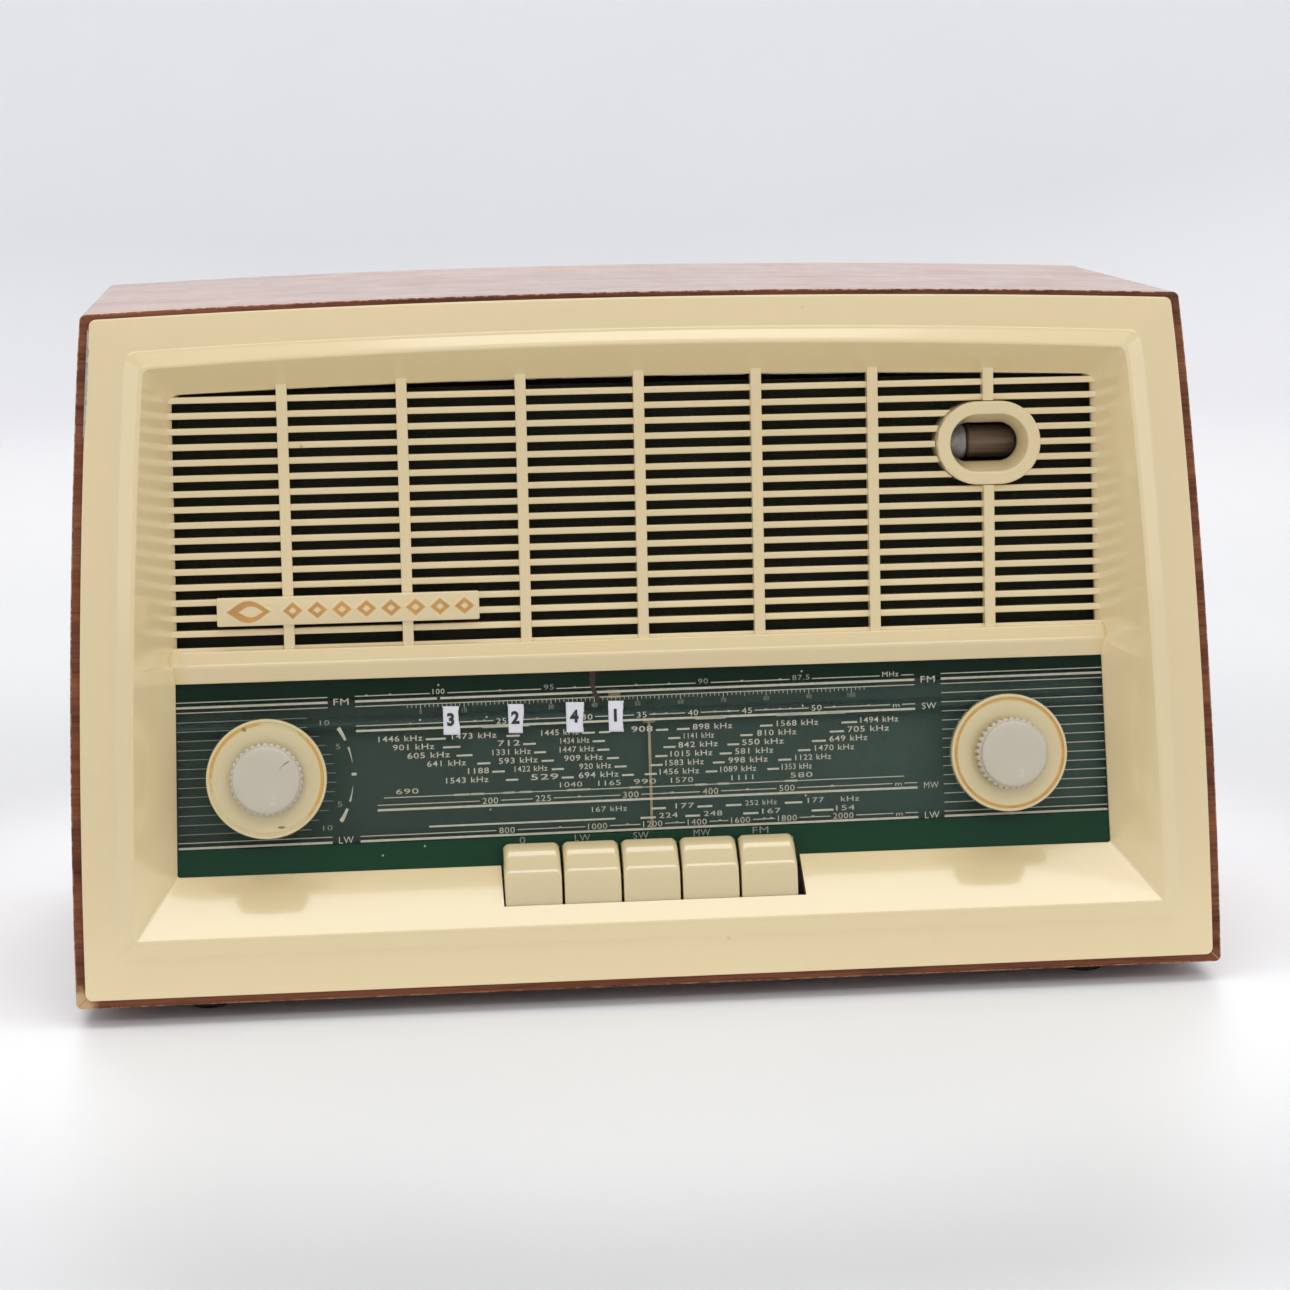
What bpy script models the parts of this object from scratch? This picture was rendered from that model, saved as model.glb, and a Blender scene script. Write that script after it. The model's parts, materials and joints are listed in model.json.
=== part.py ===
"""A valve table radio: a veneered wooden cabinet with a cream moulded front.

The front leans back and carries, from the top, a barred loudspeaker grille with a tuning
indicator, a glass dial with two double knobs, and a row of five push keys. The world frame has
+X to the listener's right, the front towards -Y, +Z up and the origin on the standing surface,
under the middle of the bounding box. Lengths below are in millimetres.
"""

import math

import bmesh
import bpy
from mathutils import Matrix, Vector

MM = 0.001
GAP = 0.3  # clearance left between pieces that touch

# Cabinet
FOOT_HEIGHT = 8.0
FRONT_Y = -115.0  # front bottom edge of the boards
BACK_Y = 116.9  # back edge of the boards
FRONT_LEAN = math.radians(9.52)
FACE_HEIGHT = 286.3  # height of the front's corners, along the lean
CROWN = 5.0  # extra height of the arched top at its middle
HALF_WIDTH_TOP = 231.5
HALF_WIDTH_GAIN = 10.5  # how much wider the cabinet is at its foot, each side
SIDE_BULGE = 12.4
BOARD = 9.0
BOARD_CORNER = 2.6
EDGE_ROUND = 0.5

# Front moulding, in the face frame
WALL = 2.6
FLANGE_FRONT = -2.6
RIDGE_Y = -6.0
DIAL_LIP_Y = 18.3
DIAL_BOTTOM, DIAL_TOP = 51.3, 132.4
RAIL_MIDDLE, RAIL_TOP, RAIL_LIP = 139.5, 145.8, 1.7
RAIL_RIDGE_Y = 14.6
OPENING_HALF_FOOT = 200.9  # half width of the openings, extended down to the cabinet's foot
OPENING_TAPER = 0.0215
SPREAD, SPREAD_GAIN = 1.2, 0.008  # how much further out the side walls stand at the grille
OPENING_TOP = 256.9
OPENING_SAG = 9.0e-5
SLOT_LEFT, SLOT_RIGHT = -63.9, 64.0
SLOT_FRONT_Y = 2.0

# Grille
GRILLE_LEAN = math.radians(4.45)
GRILLE_Y, GRILLE_Z = -64.6, 204.5
SLAT_COUNT, SLAT_PITCH, SLAT_HEIGHT, SLAT_DEPTH = 16, 6.54, 2.6, 4.6
POST_COUNT, POST_PITCH, POST_WIDTH, POST_PROUD = 7, 50.0, 4.6, 3.0
GRILLE_FOOT = -58.0
BADGE_LEFT, BADGE_RIGHT, BADGE_LOW, BADGE_HIGH, BADGE_FRONT = -179.8, -69.8, -45.7, -33.7, -6.3

# Tuning indicator, in the grille frame
INDICATOR_X, INDICATOR_Z = 150.0, 23.0
BEZEL_WIDTH, BEZEL_HEIGHT, BEZEL_FRONT, BEZEL_BACK = 44.8, 35.6, -4.6, 10.0
EYE_WIDTH, EYE_HEIGHT, EYE_DEPTH = 30.2, 17.2, 7.5

# Dial, in the face frame
GLASS_Y, GLASS_THICK = 19.9, 2.5
PLATE_Y, PLATE_THICK = 26.2, 1.0
AM_SLOT_Z, FM_SLOT_Z = 113.5, 124.5
POINTER_TRAVEL = 125.0
POINTER_Y = 24.0
AM_POINTER_X, FM_POINTER_X = 1.5, -13.0
RAIL_Y, RAIL_Z = 32.0, 119.0

# Knobs, in the face frame
KNOB_Z = 92.0
LEFT_KNOB_X, RIGHT_KNOB_X = -161.2, 154.4
RING_RADIUS, CAP_RADIUS = 25.3, 15.5
RING_FRONT, CAP_FRONT = -8.0, 2.2  # heights towards the listener
TUBE_RADIUS, TUBE_BORE, SHAFT_RADIUS = 5.0, 3.4, 3.0

# Keys, in the face frame
KEY_COUNT, KEY_PITCH, KEY_WIDTH = 5, 25.0, 24.0
KEY_MIDDLE_X = -1.2
AXLE_Y, AXLE_Z, AXLE_RADIUS = 60.0, 42.0, 2.0

# Tuning gear behind the dial, in the face frame
FRONT_PLATE_Y, FRONT_PLATE_THICK = 44.0, 1.4
CORD_Y = 37.0
GUIDE_X, GUIDE_Z, GUIDE_GROOVE = 140.0, 128.0, 6.0
DRUM_X, DRUM_Z, DRUM_GROOVE = 52.0, 75.5, 28.0
CORD_RADIUS = 0.4

# Chassis, in the world frame
CHASSIS_HALF, CHASSIS_FRONT, CHASSIS_BACK = 202.0, -25.0, 90.0
CHASSIS_FOOT, CHASSIS_TOP, SHEET = 22.0, 60.0, 1.2


# Materials and objects


def clear_scene():
    for obj in list(bpy.data.objects):
        bpy.data.objects.remove(obj, do_unlink=True)


def make_material(name, colour, roughness, metallic=0.0):
    material = bpy.data.materials.new(name)
    material.use_nodes = True
    shader = material.node_tree.nodes["Principled BSDF"]
    shader.inputs["Base Color"].default_value = (*colour, 1.0)
    shader.inputs["Roughness"].default_value = roughness
    shader.inputs["Metallic"].default_value = metallic
    return material


def make_empty(name, location, lean):
    empty = bpy.data.objects.new(name, None)
    empty.location = Vector(location) * MM
    empty.rotation_euler = (-lean, 0.0, 0.0)
    bpy.context.scene.collection.objects.link(empty)
    return empty


def make_object(name, bm, material, parent=None, at=(0, 0, 0), turn=(0, 0, 0), helper=False):
    """An object from a bmesh in millimetres, standing at a place in its parent's frame."""
    bmesh.ops.recalc_face_normals(bm, faces=bm.faces)
    bmesh.ops.scale(bm, vec=(MM, MM, MM), verts=bm.verts)
    mesh = bpy.data.meshes.new(name)
    bm.to_mesh(mesh)
    bm.free()
    if material:
        mesh.materials.append(material)
    mesh.shade_smooth()
    mesh.set_sharp_from_angle(angle=math.radians(35))
    return place_mesh(name, mesh, parent, at, turn, helper)


def place_mesh(name, mesh, parent=None, at=(0, 0, 0), turn=(0, 0, 0), helper=False):
    obj = bpy.data.objects.new(name, mesh)
    obj.parent = parent
    obj.location = Vector(at) * MM
    obj.rotation_euler = turn
    if helper:
        obj.hide_render = True
        obj.display_type = "WIRE"
    bpy.context.scene.collection.objects.link(obj)
    return obj


def combine(obj, helper, operation):
    modifier = obj.modifiers.new(f"{operation.lower()} {helper.name}", "BOOLEAN")
    modifier.operation = operation
    modifier.object = helper


def round_edges(obj, width, segments=1, angle=40):
    modifier = obj.modifiers.new("round edges", "BEVEL")
    modifier.width = width * MM
    modifier.segments = segments
    modifier.limit_method = "ANGLE"
    modifier.angle_limit = math.radians(angle)


def settled_mesh(obj):
    """The mesh that the object's modifiers make, for pieces that share it."""
    bpy.context.view_layer.update()
    graph = bpy.context.evaluated_depsgraph_get()
    mesh = bpy.data.meshes.new_from_object(obj.evaluated_get(graph))
    bpy.data.objects.remove(obj, do_unlink=True)
    return mesh


# Shapes, all returned as a bmesh in millimetres


def sweep(sections, closed):
    """A closed skin over sections, each a closed loop with the same number of points."""
    bm = bmesh.new()
    rings = [[bm.verts.new(point) for point in section] for section in sections]
    count = len(rings[0])
    for first, second in zip(rings, rings[1:] + (rings[:1] if closed else [])):
        for k in range(count):
            after = (k + 1) % count
            bm.faces.new((first[k], first[after], second[after], second[k]))
    if not closed:
        bm.faces.new(rings[0])
        bm.faces.new(rings[-1])
    return bm


def turned(profile, segments=32, bored=False, squash=1.0):
    """A profile of (radius, height) points turned about Z. A bored one is a closed profile."""
    loops = []
    for radius, height in profile:
        angles = [2 * math.pi * k / segments for k in range(segments)]
        loops.append([(radius * math.cos(a), squash * radius * math.sin(a), height) for a in angles])
    return sweep(loops, closed=bored)


def cylinder(radius, low, high, segments=16):
    return turned([(radius, low), (radius, high)], segments)


def blocks(*boxes):
    """One solid from boxes (low corner, high corner) that meet or overlap."""
    cuts = [sorted({corner[axis] for box in boxes for corner in box}) for axis in range(3)]

    def filled(i, j, k):
        if min(i, j, k) < 0 or i >= len(cuts[0]) - 1 or j >= len(cuts[1]) - 1 or k >= len(cuts[2]) - 1:
            return False
        middle = [(cuts[a][n] + cuts[a][n + 1]) / 2 for a, n in enumerate((i, j, k))]
        return any(all(low[a] < middle[a] < high[a] for a in range(3)) for low, high in boxes)

    bm = bmesh.new()
    verts = {}

    def vert(i, j, k):
        if (i, j, k) not in verts:
            verts[i, j, k] = bm.verts.new((cuts[0][i], cuts[1][j], cuts[2][k]))
        return verts[i, j, k]

    for i in range(len(cuts[0]) - 1):
        for j in range(len(cuts[1]) - 1):
            for k in range(len(cuts[2]) - 1):
                if not filled(i, j, k):
                    continue
                for axis in range(3):
                    for side in (0, 1):
                        cell = [i, j, k]
                        beside = list(cell)
                        beside[axis] += 2 * side - 1
                        if filled(*beside):
                            continue
                        cell[axis] += side
                        u, v = [a for a in range(3) if a != axis]
                        corners = []
                        for du, dv in ((0, 0), (1, 0), (1, 1), (0, 1)):
                            point = list(cell)
                            point[u] += du
                            point[v] += dv
                            corners.append(vert(*point))
                        bm.faces.new(corners)
    return bm


def box(low, high):
    return blocks((low, high))


def prism(outline, low, high, axis="X"):
    """A flat outline carried from low to high along X (outline in YZ) or Y (outline in XZ)."""
    if axis == "X":
        sections = [[(x, a, b) for a, b in outline] for x in (low, high)]
    else:
        sections = [[(a, y, b) for a, b in outline] for y in (low, high)]
    return sweep(sections, closed=False)


def arc(centre, radius, start, end, steps):
    """Points on an arc, angles in degrees."""
    angles = [math.radians(start + (end - start) * k / steps) for k in range(steps + 1)]
    return [(centre[0] + radius * math.cos(a), centre[1] + radius * math.sin(a)) for a in angles]


def stadium(width, height, steps=8):
    radius = height / 2
    reach = width / 2 - radius
    return arc((reach, 0), radius, -90, 90, steps) + arc((-reach, 0), radius, 90, 270, steps)


# The cabinet's outline, shared by the boards and the front moulding


def half_width(height):
    """Half the cabinet's width at a height along the lean of the front."""
    down = (FACE_HEIGHT - height) / FACE_HEIGHT
    return HALF_WIDTH_TOP + HALF_WIDTH_GAIN * down + SIDE_BULGE * down * (1 - down)


def top_height(x):
    """Height of the arched top at x, along the lean of the front."""
    return FACE_HEIGHT + CROWN * (1 - (x / HALF_WIDTH_TOP) ** 2)


SIDE_HEIGHTS = (62.0, 90.0, 115.0, 138.5, 142.0, 170.0, 200.0, 230.0)
TOP_STEPS, CORNER_STEPS, BOTTOM_STEPS = 12, 4, 4


def outline(side, top, bottom, radius, taper=None):
    """The cabinet's outline, inset by side, top and bottom, from the bottom middle leftwards round.

    It runs anticlockwise as the listener sees it: right half of the bottom, right side, top,
    left side, left half of the bottom.
    """

    def edge(height):
        return taper(height) if taper else half_width(height) - side

    def crest(x):
        return top_height(x) - top

    low_x = edge(bottom) - radius
    high_x = edge(crest(half_width(FACE_HEIGHT))) - radius
    high_z = crest(high_x) - radius
    right = [(low_x * k / BOTTOM_STEPS, bottom) for k in range(BOTTOM_STEPS)]
    right += arc((low_x, bottom + radius), radius, -90, 0, CORNER_STEPS)
    right += [(edge(height), height) for height in SIDE_HEIGHTS]
    right += arc((high_x, high_z), radius, 0, 90, CORNER_STEPS)
    half_top = TOP_STEPS // 2
    right += [(high_x * (1 - k / half_top), crest(high_x * (1 - k / half_top))) for k in range(1, half_top)]
    left = [(-x, z) for x, z in reversed(right[1:])]
    return right + [(0.0, crest(0.0))] + left


def lean_y(z):
    """World Y of the face plane at world height z."""
    return FRONT_Y + (z - FOOT_HEIGHT) * math.tan(FRONT_LEAN)


# Materials

clear_scene()
WOOD = make_material("veneered_wood", (0.30, 0.12, 0.05), 0.35)
CREAM = make_material("cream_plastic", (0.82, 0.72, 0.52), 0.3)
CAP_CREAM = make_material("pale_plastic", (0.80, 0.76, 0.68), 0.25)
CLOTH = make_material("grille_cloth", (0.02, 0.018, 0.015), 0.9)
BOARD_BROWN = make_material("hardboard", (0.20, 0.12, 0.07), 0.8)
GLASS = make_material("dial_glass", (0.80, 0.90, 0.85), 0.05)
DIAL_GREEN = make_material("dial_green", (0.03, 0.09, 0.07), 0.4)
STEEL = make_material("plated_steel", (0.60, 0.60, 0.58), 0.4, 1.0)
DARK_METAL = make_material("transformer_iron", (0.12, 0.12, 0.13), 0.5, 0.6)
TUBE_GLASS = make_material("valve_glass", (0.35, 0.30, 0.25), 0.1)
BROWN_GLASS = make_material("indicator_glass", (0.10, 0.04, 0.02), 0.1)
PAPER = make_material("cone_paper", (0.07, 0.06, 0.05), 0.9)
RUBBER = make_material("black_rubber", (0.02, 0.02, 0.02), 0.7)
CORD = make_material("dial_cord", (0.55, 0.50, 0.38), 0.8)
NYLON = make_material("white_nylon", (0.75, 0.74, 0.68), 0.5)

FACE = make_empty("face_frame", (0, FRONT_Y, FOOT_HEIGHT), FRONT_LEAN)
GRILLE = make_empty("grille_frame", (0, GRILLE_Y, GRILLE_Z), GRILLE_LEAN)
TOWARDS_LISTENER = (math.pi / 2, 0, 0)  # turns a piece's Z axis to -Y of its frame
ALONG_X = (0, math.pi / 2, 0)


# Cabinet boards


def board_section(outer, eased, inner, k):
    """The board's section at outline point k: back outer, front outer, eased edge, front and back inner."""
    rows = []
    corners = ((outer[k], None), (outer[k], EDGE_ROUND), (eased[k], 0.0), (inner[k], 0.0), (inner[k], None))
    for (x, height), dy in corners:
        z = FOOT_HEIGHT + height * math.cos(FRONT_LEAN)
        rows.append((x, BACK_Y if dy is None else lean_y(z) + dy, z))
    return rows


def nudged(section, towards):
    """The end section of a board, drawn back from the mitre by half the joint's gap."""
    return [Vector(a) + (Vector(b) - Vector(a)).normalized() * GAP / 2 for a, b in zip(section, towards)]


def make_boards():
    outer = outline(0, 0, 0, BOARD_CORNER)
    eased = outline(EDGE_ROUND, EDGE_ROUND, EDGE_ROUND, BOARD_CORNER)
    inner = outline(BOARD, BOARD, BOARD, 1.0)
    count = len(outer)
    right_foot = BOTTOM_STEPS + CORNER_STEPS // 2
    right_head = BOTTOM_STEPS + CORNER_STEPS + 1 + len(SIDE_HEIGHTS) + CORNER_STEPS // 2
    left_head, left_foot = count - right_head, count - right_foot
    ranges = {
        "cabinet_side_right": range(right_foot, right_head + 1),
        "cabinet_top": range(right_head, left_head + 1),
        "cabinet_side_left": range(left_head, left_foot + 1),
        "cabinet_bottom": range(left_foot, count + right_foot + 1),
    }
    for name, points in ranges.items():
        sections = [board_section(outer, eased, inner, k % count) for k in points]
        sections[0] = nudged(sections[0], sections[1])
        sections[-1] = nudged(sections[-1], sections[-2])
        make_object(name, sweep(sections, closed=False), WOOD)


make_boards()


# Front moulding: a frame of constant wall, the rail, and the grille bars


def grille_depth(height):
    """Depth of the grille's front plane behind the face plane, at a height along the lean."""
    offset = Vector((0, GRILLE_Y - FRONT_Y, GRILLE_Z - FOOT_HEIGHT))
    offset.rotate(Matrix.Rotation(FRONT_LEAN, 3, "X"))
    return offset.y - (height - offset.z) * math.tan(FRONT_LEAN - GRILLE_LEAN)


def opening_half(height):
    """Half width of the opening: the dial's below the rail, and the slightly wider grille's above."""
    half = OPENING_HALF_FOOT - OPENING_TAPER * height
    if height < RAIL_MIDDLE + 1:
        return half
    return half + SPREAD + SPREAD_GAIN * (height - RAIL_TOP)


def opening_depth(height, behind_grille, behind_lip):
    """Depth of the frame's inner edge: the dial's lip below the rail, the grille's plane above."""
    if height < RAIL_MIDDLE + 1:
        return DIAL_LIP_Y + behind_lip
    return grille_depth(height) + behind_grille


def make_front_frame():
    top_inset = FACE_HEIGHT + CROWN - OPENING_TOP

    def opening(grow, behind_grille, behind_lip):
        loop = outline(0, top_inset - grow, DIAL_BOTTOM - grow, 2.0, taper=lambda z: opening_half(z) + grow)
        return [(x, opening_depth(z, behind_grille, behind_lip), z) for x, z in loop]

    def loop(side, top, bottom, radius, y):
        return [(x, y, z) for x, z in outline(side, top, bottom, radius)]

    rows = [
        loop(3.7, 2.4, 3.4, 3.0, -GAP),
        loop(3.7, 2.4, 3.4, 3.0, FLANGE_FRONT + 1.0),
        loop(4.7, 3.4, 4.4, 2.6, FLANGE_FRONT),
        loop(18.6, 16.4, 20.4, 2.5, FLANGE_FRONT),
        loop(24.9, 21.4, 26.2, 2.5, RIDGE_Y),
        loop(26.3, 22.8, 27.6, 2.0, RIDGE_Y),
        opening(0.0, 0.0, 0.0),
        opening(0.0, 6.6, 1.2),
        opening(WALL, 6.6, 1.2),
        loop(26.3 - WALL, 22.8 - WALL, 27.6 - WALL, 2.0, RIDGE_Y + WALL + 0.6),
        loop(24.9 - WALL, 21.4 - WALL, 26.2 - WALL, 2.5, RIDGE_Y + WALL + 0.6),
        loop(18.6, 16.4, 20.4, 2.5, -GAP),
    ]
    sections = [[row[k] for row in rows] for k in range(len(rows[0]))]
    return sweep(sections, closed=True)


def make_rail():
    """The bar between the grille and the dial, with a low ridge along its middle."""
    section = [
        (DIAL_LIP_Y + 1.2, DIAL_TOP),
        (DIAL_LIP_Y - 1.0, DIAL_TOP),
        (RAIL_RIDGE_Y, RAIL_MIDDLE),
        (DIAL_LIP_Y - 0.8, RAIL_TOP),
        (grille_depth(RAIL_TOP) - 0.7, RAIL_TOP + 0.5),
        (grille_depth(RAIL_TOP) - 0.7, RAIL_TOP + RAIL_LIP),
        (grille_depth(RAIL_TOP) + 6.0, RAIL_TOP + RAIL_LIP),
        (grille_depth(RAIL_TOP) + 6.0, RAIL_TOP - 2.0),
        (DIAL_LIP_Y + 1.2, RAIL_TOP - 4.5),
    ]
    reach = opening_half(RAIL_MIDDLE) + 2.9
    return prism(section, -reach, reach)


def grille_top(x):
    """Height of the grille opening's top edge at x, in the grille frame."""
    edge = Vector((0, 0, OPENING_TOP - OPENING_SAG * x * x))
    edge.y = grille_depth(edge.z)
    edge.rotate(Matrix.Rotation(-FRONT_LEAN, 3, "X"))
    edge += Vector((0, FRONT_Y - GRILLE_Y, FOOT_HEIGHT - GRILLE_Z))
    edge.rotate(Matrix.Rotation(GRILLE_LEAN, 3, "X"))
    return edge.z


def join(meshes):
    """One bmesh that holds the shapes side by side, each still a closed body."""
    whole = bmesh.new()
    for bm in meshes:
        mesh = bpy.data.meshes.new("joined")
        bmesh.ops.recalc_face_normals(bm, faces=bm.faces)
        bm.to_mesh(mesh)
        bm.free()
        whole.from_mesh(mesh)
        bpy.data.meshes.remove(mesh)
    return whole


def make_front_moulding():
    moulding = make_object("front_moulding", make_front_frame(), CREAM, FACE)
    rail = make_object("moulding_rail", make_rail(), None, FACE, helper=True)
    slats = []
    for k in range(SLAT_COUNT):
        z = (7.5 - k) * SLAT_PITCH
        reach = opening_half(GRILLE_Z - FOOT_HEIGHT + z) + 1.0
        slats.append(box((-reach, 0.2, z - SLAT_HEIGHT / 2), (reach, SLAT_DEPTH, z + SLAT_HEIGHT / 2)))
    posts = []
    for k in range(POST_COUNT):
        x = (k - (POST_COUNT - 1) / 2) * POST_PITCH
        low = (x - POST_WIDTH / 2, -POST_PROUD, GRILLE_FOOT)
        posts.append(box(low, (x + POST_WIDTH / 2, 2.4, grille_top(x) + WALL)))
    slats = make_object("moulding_slats", join(slats), None, GRILLE, helper=True)
    posts = make_object("moulding_posts", join(posts), None, GRILLE, helper=True)
    window = prism(stadium(BEZEL_WIDTH + 2 * GAP, BEZEL_HEIGHT + 2 * GAP), -20, 20, "Y")
    window = make_object("moulding_window", window, None, GRILLE, (INDICATOR_X, 0, INDICATOR_Z), helper=True)
    slot = box((SLOT_LEFT, SLOT_FRONT_Y, 12), (SLOT_RIGHT, 40, DIAL_BOTTOM + 1.0))
    slot = make_object("moulding_slot", slot, None, FACE, helper=True)
    for helper in (rail, slats, posts):
        combine(moulding, helper, "UNION")
    for helper in (window, slot):
        combine(moulding, helper, "DIFFERENCE")


make_front_moulding()


# Badge plate and indicator


def make_badge():
    low = (BADGE_LEFT, BADGE_FRONT, BADGE_LOW)
    plate = box(low, (BADGE_RIGHT, -POST_PROUD - GAP, BADGE_HIGH))
    badge = make_object("badge_plate", plate, CREAM, GRILLE)
    round_edges(badge, 0.8)


def make_indicator():
    loops = []
    for width, height, y in (
        (BEZEL_WIDTH, BEZEL_HEIGHT, BEZEL_BACK),
        (BEZEL_WIDTH, BEZEL_HEIGHT, BEZEL_FRONT + 1.0),
        (BEZEL_WIDTH - 2.0, BEZEL_HEIGHT - 2.0, BEZEL_FRONT),
        (34.8, 25.6, BEZEL_FRONT),
        (33.4, 24.2, BEZEL_FRONT + 0.9),
        (EYE_WIDTH, EYE_HEIGHT, EYE_DEPTH),
        (EYE_WIDTH, EYE_HEIGHT, BEZEL_BACK),
    ):
        loops.append([(x, y, z) for x, z in stadium(width, height)])
    at = (INDICATOR_X, 0, INDICATOR_Z)
    make_object("indicator_bezel", sweep(loops, closed=True), CREAM, GRILLE, at)
    tube = [(3.0, -21.0), (8.0, -20.0), (9.5, -17.5), (9.5, 18.0), (8.0, 20.0)]
    at = (INDICATOR_X, 20.5, INDICATOR_Z)
    make_object("indicator_tube", turned(tube, 20), BROWN_GLASS, GRILLE, at, ALONG_X)


make_badge()
make_indicator()


# Grille cloth, baffle and loudspeaker, in the grille frame

BAFFLE_Y, BAFFLE_THICK = 10.6, 5.0
SPEAKER_X, SPEAKER_SQUASH = -40.0, 0.59


def make_baffle():
    cloth = make_object("grille_cloth", box((-203, 9.6, -57), (203, 10.2, 51)), CLOTH, GRILLE)
    baffle = box((-204, BAFFLE_Y, -58), (204, BAFFLE_Y + BAFFLE_THICK, 52))
    baffle = make_object("baffle_board", baffle, BOARD_BROWN, GRILLE)
    at = (SPEAKER_X, 0, 0)
    hole = turned([(80, -40), (80, 20)], 28, squash=SPEAKER_SQUASH)
    hole = make_object("speaker_hole", hole, None, GRILLE, at, TOWARDS_LISTENER, helper=True)
    window = prism(stadium(BEZEL_WIDTH + 2 * GAP, BEZEL_HEIGHT + 2 * GAP), -20, 30, "Y")
    window = make_object("indicator_hole", window, None, GRILLE, (INDICATOR_X, 0, INDICATOR_Z), helper=True)
    combine(baffle, hole, "DIFFERENCE")
    combine(baffle, window, "DIFFERENCE")
    combine(cloth, window, "DIFFERENCE")


def make_speaker():
    rim = -(BAFFLE_Y + BAFFLE_THICK + GAP)
    basket = [(14, rim - 27), (78, rim), (88, rim), (88, rim - 3)]
    basket += [(78, rim - 5), (40, rim - 33), (40, rim - 52)]
    cone = [(8, rim - 21), (15, rim - 24.5), (76.5, rim - 0.4)]
    cone += [(76.5, rim - 0.2), (15, rim - 23.2), (8, rim - 18)]
    at = (SPEAKER_X, 0, 0)
    for name, profile, material in (("speaker_basket", basket, STEEL), ("speaker_cone", cone, PAPER)):
        make_object(name, turned(profile, 28, squash=SPEAKER_SQUASH), material, GRILLE, at, TOWARDS_LISTENER)


make_baffle()
make_speaker()


# Dial: glass, printed plate, pointers and their rail


def shaft_holes(target, radius):
    for x in (LEFT_KNOB_X, RIGHT_KNOB_X):
        hole = cylinder(radius, -60, 0)
        name, at = f"{target.name}_hole", (x, 0, KNOB_Z)
        hole = make_object(name, hole, None, FACE, at, TOWARDS_LISTENER, helper=True)
        combine(target, hole, "DIFFERENCE")


def make_dial():
    glass = box((-203, GLASS_Y, 46.0), (203, GLASS_Y + GLASS_THICK, 137.5))
    glass = make_object("dial_glass", glass, GLASS, FACE)
    shaft_holes(glass, 6.5)
    half_slot = POINTER_TRAVEL + 20
    plate = blocks(
        ((-203, PLATE_Y, 46.0), (203, PLATE_Y + PLATE_THICK, AM_SLOT_Z - 1)),
        ((-203, PLATE_Y, AM_SLOT_Z - 1), (-half_slot, PLATE_Y + PLATE_THICK, FM_SLOT_Z + 1)),
        ((half_slot, PLATE_Y, AM_SLOT_Z - 1), (203, PLATE_Y + PLATE_THICK, FM_SLOT_Z + 1)),
        ((-half_slot, PLATE_Y, AM_SLOT_Z + 1), (half_slot, PLATE_Y + PLATE_THICK, FM_SLOT_Z - 1)),
        ((-203, PLATE_Y, FM_SLOT_Z + 1), (203, PLATE_Y + PLATE_THICK, 137.5)),
    )
    plate = make_object("dial_plate", plate, DIAL_GREEN, FACE)
    shaft_holes(plate, 6.5)


def make_pointers():
    tab_low = AM_SLOT_Z - 0.6
    am = blocks(
        ((-0.6, POINTER_Y, 63.7), (0.6, POINTER_Y + 1, tab_low + 1.2)),
        ((-2.6, POINTER_Y, 109.5), (2.6, POINTER_Y + 1, tab_low + 1.2)),
        ((-2.6, POINTER_Y, tab_low), (2.6, 30.2, tab_low + 1.2)),
        ((-5.0, 29.0, 108.0), (5.0, 35.0, RAIL_Z - 1.9)),
    )
    make_object("am_pointer", am, CREAM, FACE, (AM_POINTER_X, 0, 0))
    tab_low = FM_SLOT_Z - 0.6
    fm = blocks(
        ((-2.6, POINTER_Y, tab_low - 3.5), (2.6, POINTER_Y + 1, tab_low + 1.2)),
        ((-2.6, POINTER_Y, tab_low), (2.6, 30.2, tab_low + 1.2)),
        ((-5.0, 29.0, RAIL_Z + 1.9), (5.0, 35.0, 130.0)),
    )
    make_object("fm_pointer", fm, CREAM, FACE, (FM_POINTER_X, 0, 0))
    make_object("pointer_rail", cylinder(1.5, -150, 150, 12), STEEL, FACE, (0, RAIL_Y, RAIL_Z), ALONG_X)


make_dial()
make_pointers()


# Double knobs: a ring on a tube, and a cap on the shaft inside it


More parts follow.
